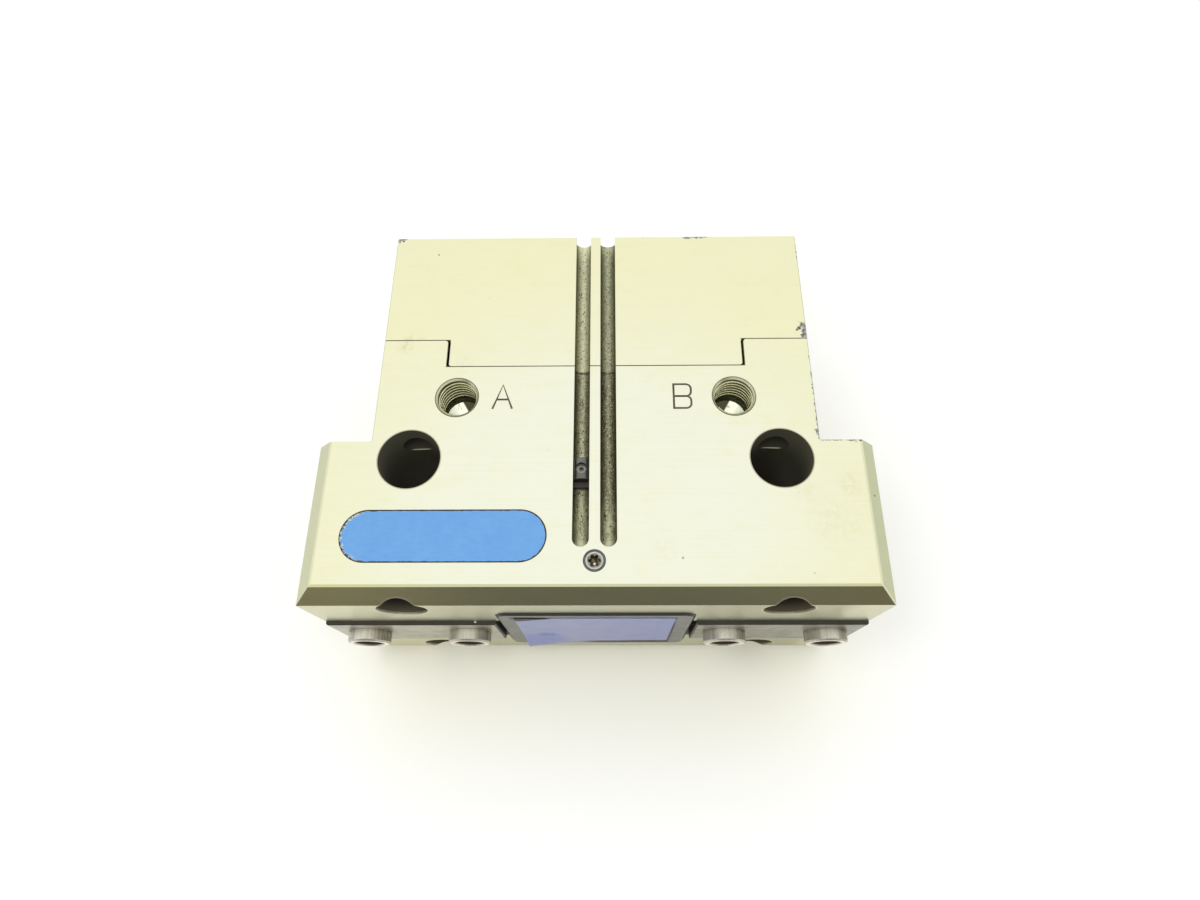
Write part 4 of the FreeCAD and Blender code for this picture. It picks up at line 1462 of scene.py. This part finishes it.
@dataclass
class Gripper:
    """Everything that belongs to the object: the CAD nodes' finishes and the added pieces.

    Attributes:
        nodes: The CAD nodes by name.
        finger_foot_y: Where the finger threads begin.
        spring_x: The springs' distance from the middle.
        spring_foot_y: Where the springs begin.
        spring_seat_y: Where the cap holds them; not used.
        spring_keep: The share of their length that the full stroke leaves; not used.
    """

    nodes: dict[str, Piece]
    finger_foot_y: float = -112.0
    spring_x: float = 21.5
    spring_foot_y: float = -56.2
    spring_seat_y: float = -7.8
    spring_keep: float = 0.739

    def wear(self, finish: Finish, *names: str) -> None:
        """Dress CAD nodes in a finish.

        Args:
            finish: The finish.
            names: The nodes.
        """
        material = finish.build()
        for name in names:
            mesh = self.nodes[name].data
            mesh.materials.clear()
            mesh.materials.append(material)
            LOG.info("node %s wears %s", name, material.name)

    def build(self) -> None:
        """Dress every sub-assembly and add its pieces."""
        self.body()
        self.ports()
        self.front()
        self.jaws()
        self.sensor_clip()
        self.drive()

    def body(self) -> None:
        """The two anodised blocks with their wear, and the screws and seals that join them."""
        housing = AnodisedFinish(
            part=BodyPart.HOUSING,
            warmth=0.05,
            chips=(
                ChipRun(1, 62.5, -69.8, -57.5, 0.9, 0.95),
                ChipRun(1, 62.5, -57.5, -48.5, 0.7, 0.75),
                ChipRun(1, 62.5, -48.0, -38.0, 0.5, 0.5),
                ChipRun(0, -70.0, 63.0, 75.5, 0.6, 1.0),
                ChipRun(1, -62.5, -69.5, -40.0, 0.35, 0.3),
                ChipRun(1, 73.95, -90.0, -76.0, 0.3, 0.3),
            ),
            smudges=(
                Mark(-56.0, -39.6, 3.5, 0.7),
                Mark(69.0, -83.3, 5.0, 0.3),
                Mark(64.5, -94.0, 11.0, 0.2),
                Mark(18.5, -101.5, 5.0, 0.2),
                Mark(56.0, -84.0, 6.0, 0.25),
            ),
            specks=(
                Mark(23.1, -103.6, 0.45, 0.55),
                Mark(56.9, -107.7, 0.3, 0.4),
                Mark(76.0, -85.9, 0.4, 0.9),
                Mark(-13.2, -73.0, 0.25, 0.25),
            ),
        )
        cap = AnodisedFinish(
            part=BodyPart.CAP,
            warmth=0.2,
            chips=(
                ChipRun(0, 0.0, 13.5, 18.0, 0.55, 0.75),
                ChipRun(0, 0.0, 27.5, 36.0, 0.9, 0.95),
                ChipRun(0, 0.0, -62.5, -59.5, 1.6, 0.9),
                ChipRun(1, 62.5, -31.0, -1.0, 0.45, 0.55),
                ChipRun(1, 62.5, -37.2, -32.0, 2.6, 1.0),
                ChipRun(1, -62.5, -20.0, -0.5, 0.4, 0.4),
            ),
            smudges=(
                Mark(-55.0, -36.7, 2.6, 0.8),
                Mark(-51.5, -36.9, 1.8, 0.8),
                Mark(-38.0, -45.2, 4.0, 0.3),
            ),
            specks=(
                Mark(-49.0, -6.4, 0.35, 0.85),
                Mark(-61.2, -0.5, 0.7, 0.85),
                Mark(-60.6, -1.1, 0.5, 0.8),
                Mark(-61.8, -1.5, 0.4, 0.7),
                Mark(-32.1, -22.6, 0.25, 0.3),
                Mark(60.4, -33.9, 0.8, 0.9),
                Mark(59.7, -34.5, 0.5, 0.9),
                Mark(61.2, -36.6, 0.7, 0.95),
            ),
        )
        self.wear(housing, BodyPart.HOUSING.value)
        self.wear(cap, BodyPart.CAP.value)
        black = SteelFinish("screw_black", srgb(70, 70, 70), srgb(40, 38, 36), (0.4, 4.0, 0.4), 0.38)
        self.wear(black, "cap_screws", "cover_screws", "piston_screw")
        rubber = CoatedFinish("seal_black", srgb(26, 26, 26), srgb(44, 44, 42), 0.5, 0.62)
        self.wear(rubber, "cap_seal", "rod_seal", "piston_seal")

    def ports(self) -> None:
        """Port threads, port letters, crumbs in the slots, the name plate and the purge plug."""
        metal = SteelFinish("port_thread", srgb(226, 227, 184), srgb(176, 170, 118), (0.6, 0.6, 4.0), 0.26)
        helix = Helix("port_threads", radius=5.56, wire=0.36, length=9.6, turns=6.4, steps=40, turned=False)
        feet = [(side * PLAN.port_x, PLAN.port_y, PLAN.thread_end) for _, side in SIDES]
        settle(helix.build(feet, metal.build()), "housing", "anodised_body")
        cut = CoatedFinish("letter_dirt", srgb(94, 84, 66), srgb(60, 52, 42), 0.9, 0.7)
        settle(Lettering().build(cut.build()), "housing", "anodised_body")
        dirt = CoatedFinish("grit_black", srgb(26, 23, 17), srgb(58, 50, 34), 0.7, 0.85)
        settle(Grit().build(dirt.build()), "housing", "anodised_body")
        plate = PlateFinish("plate_blue", srgb(94, 151, 208), srgb(106, 162, 214), 0.5, 0.34, 4.0, 0.008)
        self.wear(plate, "name_plate")
        plug = PlugFinish("plug_steel", srgb(208, 206, 196), srgb(158, 154, 140), (2.0, 2.0, 2.0), 0.34)
        self.wear(plug, "purge_plug")
        ring = CoatedFinish("plug_ring", srgb(58, 58, 54), srgb(98, 108, 112), 0.9, 0.45, gloss=0.3)
        self.wear(ring, "purge_plug_seal")

    def front(self) -> None:
        """The centre cover and its label."""
        grey = (srgb(114, 112, 104), srgb(90, 90, 85))
        # The dark flank colour paints shade on the cover's sides.
        dark = srgb(36, 35, 33)
        cover = CoverFinish("cover_grey", *grey, 0.5, 0.42, flank=dark, axis=1, flank_share=0.92)
        self.wear(cover, "centre_cover")
        tones = (srgb(156, 162, 196), srgb(144, 151, 190))
        label = LabelFinish("label_lavender", *tones, 0.6, 0.4, gloss=0.15)
        settle(PeeledLabel().build(label.build()), "housing", "label_lavender", "cover_label")

    def jaws(self) -> None:
        """The two base jaws with their sleeves and the threads for the fingers."""
        ground = JawFinish("jaw_steel", srgb(186, 184, 168), srgb(120, 115, 98), (0.08, 1.0, 3.0), 0.34)
        self.wear(ground, "base_jaw_left", "base_jaw_right")
        tones = (srgb(240, 237, 224), srgb(206, 200, 182))
        turned = SleeveFinish("sleeve_steel", *tones, (0.5, 4.0, 0.5), 0.28)
        self.wear(turned, "centring_sleeves_left", "centring_sleeves_right")
        thread = SteelFinish("finger_thread", srgb(96, 94, 86), srgb(48, 46, 42), (1.0, 4.0, 1.0), 0.4)
        metal = thread.build()
        for name, side in SIDES:
            helix = Helix("finger_threads_" + name, radius=3.46, wire=0.3, length=11.0, turns=8.8, steps=20)
            feet = []
            for _, step in SIDES:
                x = side * (PLAN.sleeve_middle + step * PLAN.sleeve_half_step)
                feet.append((x, self.finger_foot_y, 0.0))
            settle(helix.build(feet, metal), "jaw_" + name, "hardened_steel")

    def sensor_clip(self) -> None:
        """The clamping piece in the left slot and its screw."""
        grey = (srgb(100, 100, 92), srgb(76, 76, 68))
        # The dark flank colour paints shade on the clip's sides.
        clip = ClipFinish("clip_grey", *grey, 0.6, 0.5, flank=srgb(22, 21, 19), flank_share=0.95)
        self.wear(clip, "sensor_clip")
        screw = SteelFinish("clip_screw", srgb(150, 148, 140), srgb(84, 82, 76), (3.0, 3.0, 1.0), 0.32)
        self.wear(screw, "sensor_clip_screw")

    def drive(self) -> None:
        """The hidden drive: hook, piston, magnets, bush and closing springs."""
        hook = SteelFinish("hook_steel", srgb(170, 168, 158), srgb(104, 100, 90), (2.0, 0.2, 2.0), 0.3)
        self.wear(hook, "wedge_hook")
        alloy = SteelFinish("piston_alloy", srgb(206, 206, 202), srgb(150, 148, 142), (2.0, 0.3, 2.0), 0.34)
        self.wear(alloy, "piston")
        tones = (srgb(214, 214, 214), srgb(160, 160, 160))
        plating = SteelFinish("magnet_plating", *tones, (1.0, 1.0, 1.0), 0.2)
        self.wear(plating, "piston_magnets")
        bush = SteelFinish("bush_bronze", srgb(186, 140, 78), srgb(120, 84, 44), (0.5, 4.0, 0.5), 0.36)
        self.wear(bush, "rod_bush")
        wire = SteelFinish("spring_wire", srgb(120, 120, 120), srgb(62, 60, 58), (2.0, 2.0, 2.0), 0.3)
        metal = wire.build()
        for name, side in SIDES:
            x = side * self.spring_x
            coil = Helix("spring_coil_" + name, 12.1, wire=1.4, length=47.0, turns=7.5, steps=40, sides=12)
            piece = coil.build([(x, self.spring_foot_y, 0.0)], metal)
            settle(piece, "housing", "spring_steel", "closing_spring_" + name)
            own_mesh(piece)


@dataclass
class Studio:
    """The white table, the soft light and the camera.

    Attributes:
        floor_z: The level of the table in millimetres.
        reach: Half the table's width in metres.
        eye: The camera's place in millimetres.
        right: The image's right in the CAD frame.
        up: The image's up in the CAD frame.
        look: The viewing direction in the CAD frame.
        lens: The focal length for the sensor.
        sensor: The sensor's width.
        dim_colour: The light from low down behind the camera.
        lamp_shift: The lamp's place right of and above the camera in millimetres.
        lamp_aim: The place that the lamp looks at.
        lamp_size: The lamp's diameter in metres.
        lamp_power: Its power in watts.
    """

    floor_z: float
    reach: float = 12.0
    eye: Point = (4.180, -153.957, 228.989)
    right: Point = (0.99990216, 0.00132187, -0.01392561)
    up: Point = (0.00423272, 0.92026293, 0.39127768)
    look: Point = (-0.01333244, 0.39129834, -0.9201673)
    lens: float = 22.412
    sensor: float = 36.0
    dim_colour: Colour = (0.06, 0.055, 0.04, 1.0)
    lamp_shift: tuple[float, float] = (-45.0, 40.0)
    lamp_aim: Point = (0.0, -80.0, 20.0)
    lamp_size: float = 0.08
    lamp_power: float = 0.1

    def build(self) -> None:
        """Make the camera, the table and the light."""
        self.camera()
        self.table()
        self.light()
        self.lamp()

    def camera(self) -> None:
        """A camera at the photograph's place."""
        data = bpy.data.cameras.new("camera")
        data.sensor_width = self.sensor
        data.lens = self.lens
        data.clip_start = 10 * MM
        camera = new_piece("camera", data)
        turn = Matrix((Vector(self.right), Vector(self.up), -Vector(self.look))).transposed().to_4x4()
        camera.matrix_world = Matrix.Translation(Vector(self.eye) * MM) @ turn
        bpy.context.scene.camera = camera

    def table(self) -> None:
        """A wide white table with a faint paper grain, and warm bounce light painted on it before the part.
        """
        tree = MaterialTree("table_white")
        x, y, _ = tree.spot
        fibres = tree.noise(0.8, 4.0)
        # Painted bounce light: a warm tint on the table in front of the part.
        near = (abs(x) - 50.0).most(0.0).hypot(y - PLAN.front_y).ease(75, 5)
        coats = ((fibres * 0.3, srgb(252, 252, 251)), (near, srgb(255, 254, 240)))
        material = tree.dress(
            Base_Color=tree.layers(srgb(255, 255, 255), coats),
            Roughness=0.9,
            Normal=tree.bump(fibres, 0.01),
            Specular_IOR_Level=0.1,
        )
        mesh = bpy.data.meshes.new("table")
        spans = ((-1, -1), (1, -1), (1, 1), (-1, 1))
        corners = [(i * self.reach, k * self.reach, self.floor_z * MM) for i, k in spans]
        mesh.from_pydata(corners, [], [(0, 1, 2, 3)])
        mesh.materials.append(material)
        new_piece("table", mesh)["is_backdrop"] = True

    def light(self) -> None:
        """Soft light from all round, bright overhead and dim low behind the camera, on a white ground."""
        world = bpy.data.worlds.new("studio")
        world.use_nodes = True
        tree = ShaderTree(world.node_tree)
        _, along, height = tree.split(tree.add("ShaderNodeTexCoord").outputs["Generated"])
        levels = ((0.0, 0.8), (0.35, 1.0), (0.75, 1.12), (1.0, 1.16))
        stops = [(place, (level, level, level, 1.0)) for place, level in levels]
        ramp = tree.add("ShaderNodeValToRGB", {"stops": stops}, {0: height})
        dim = along.ease(-0.3, -0.72) * height.ease(0.55, 0.3)
        seen = tree.add("ShaderNodeLightPath").outputs["Is Camera Ray"]
        tone = tree.layers(ramp.outputs[0], ((dim, self.dim_colour), (seen, (1.0, 1.0, 1.0, 1.0))))
        glow = tree.add("ShaderNodeBackground", None, {"Color": tone, "Strength": 1.0})
        tree.add("ShaderNodeOutputWorld", None, {"Surface": glow.outputs[0]})
        bpy.context.scene.world = world

    def lamp(self) -> None:
        """A soft lamp beside the camera, which lights the floors of the holes that the camera sees."""
        data = bpy.data.lights.new("lamp", "AREA")
        data.shape = "DISK"
        data.size = self.lamp_size
        data.energy = self.lamp_power
        lamp = new_piece("lamp", data)
        lamp.visible_glossy = False
        shift = Vector(self.right) * self.lamp_shift[0] + Vector(self.up) * self.lamp_shift[1]
        place = (Vector(self.eye) + shift) * MM
        turn = (Vector(self.lamp_aim) * MM - place).to_track_quat("-Z", "Y")
        lamp.matrix_world = Matrix.Translation(place) @ turn.to_matrix().to_4x4()


def clear_scene() -> None:
    """Remove what Blender's own start scene holds."""
    for thing in list(bpy.data.objects):
        bpy.data.objects.remove(thing)


def main() -> None:
    """Load the frame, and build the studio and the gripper."""
    logging.basicConfig(level=logging.INFO, format="%(name)s: %(message)s")
    clear_scene()
    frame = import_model()
    cad_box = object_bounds()
    bpy.context.scene.view_settings.view_transform = "Standard"
    Studio(floor_z=cad_box[0].z / MM).build()
    Gripper(frame["nodes"]).build()


if __name__ == "__main__":
    main()
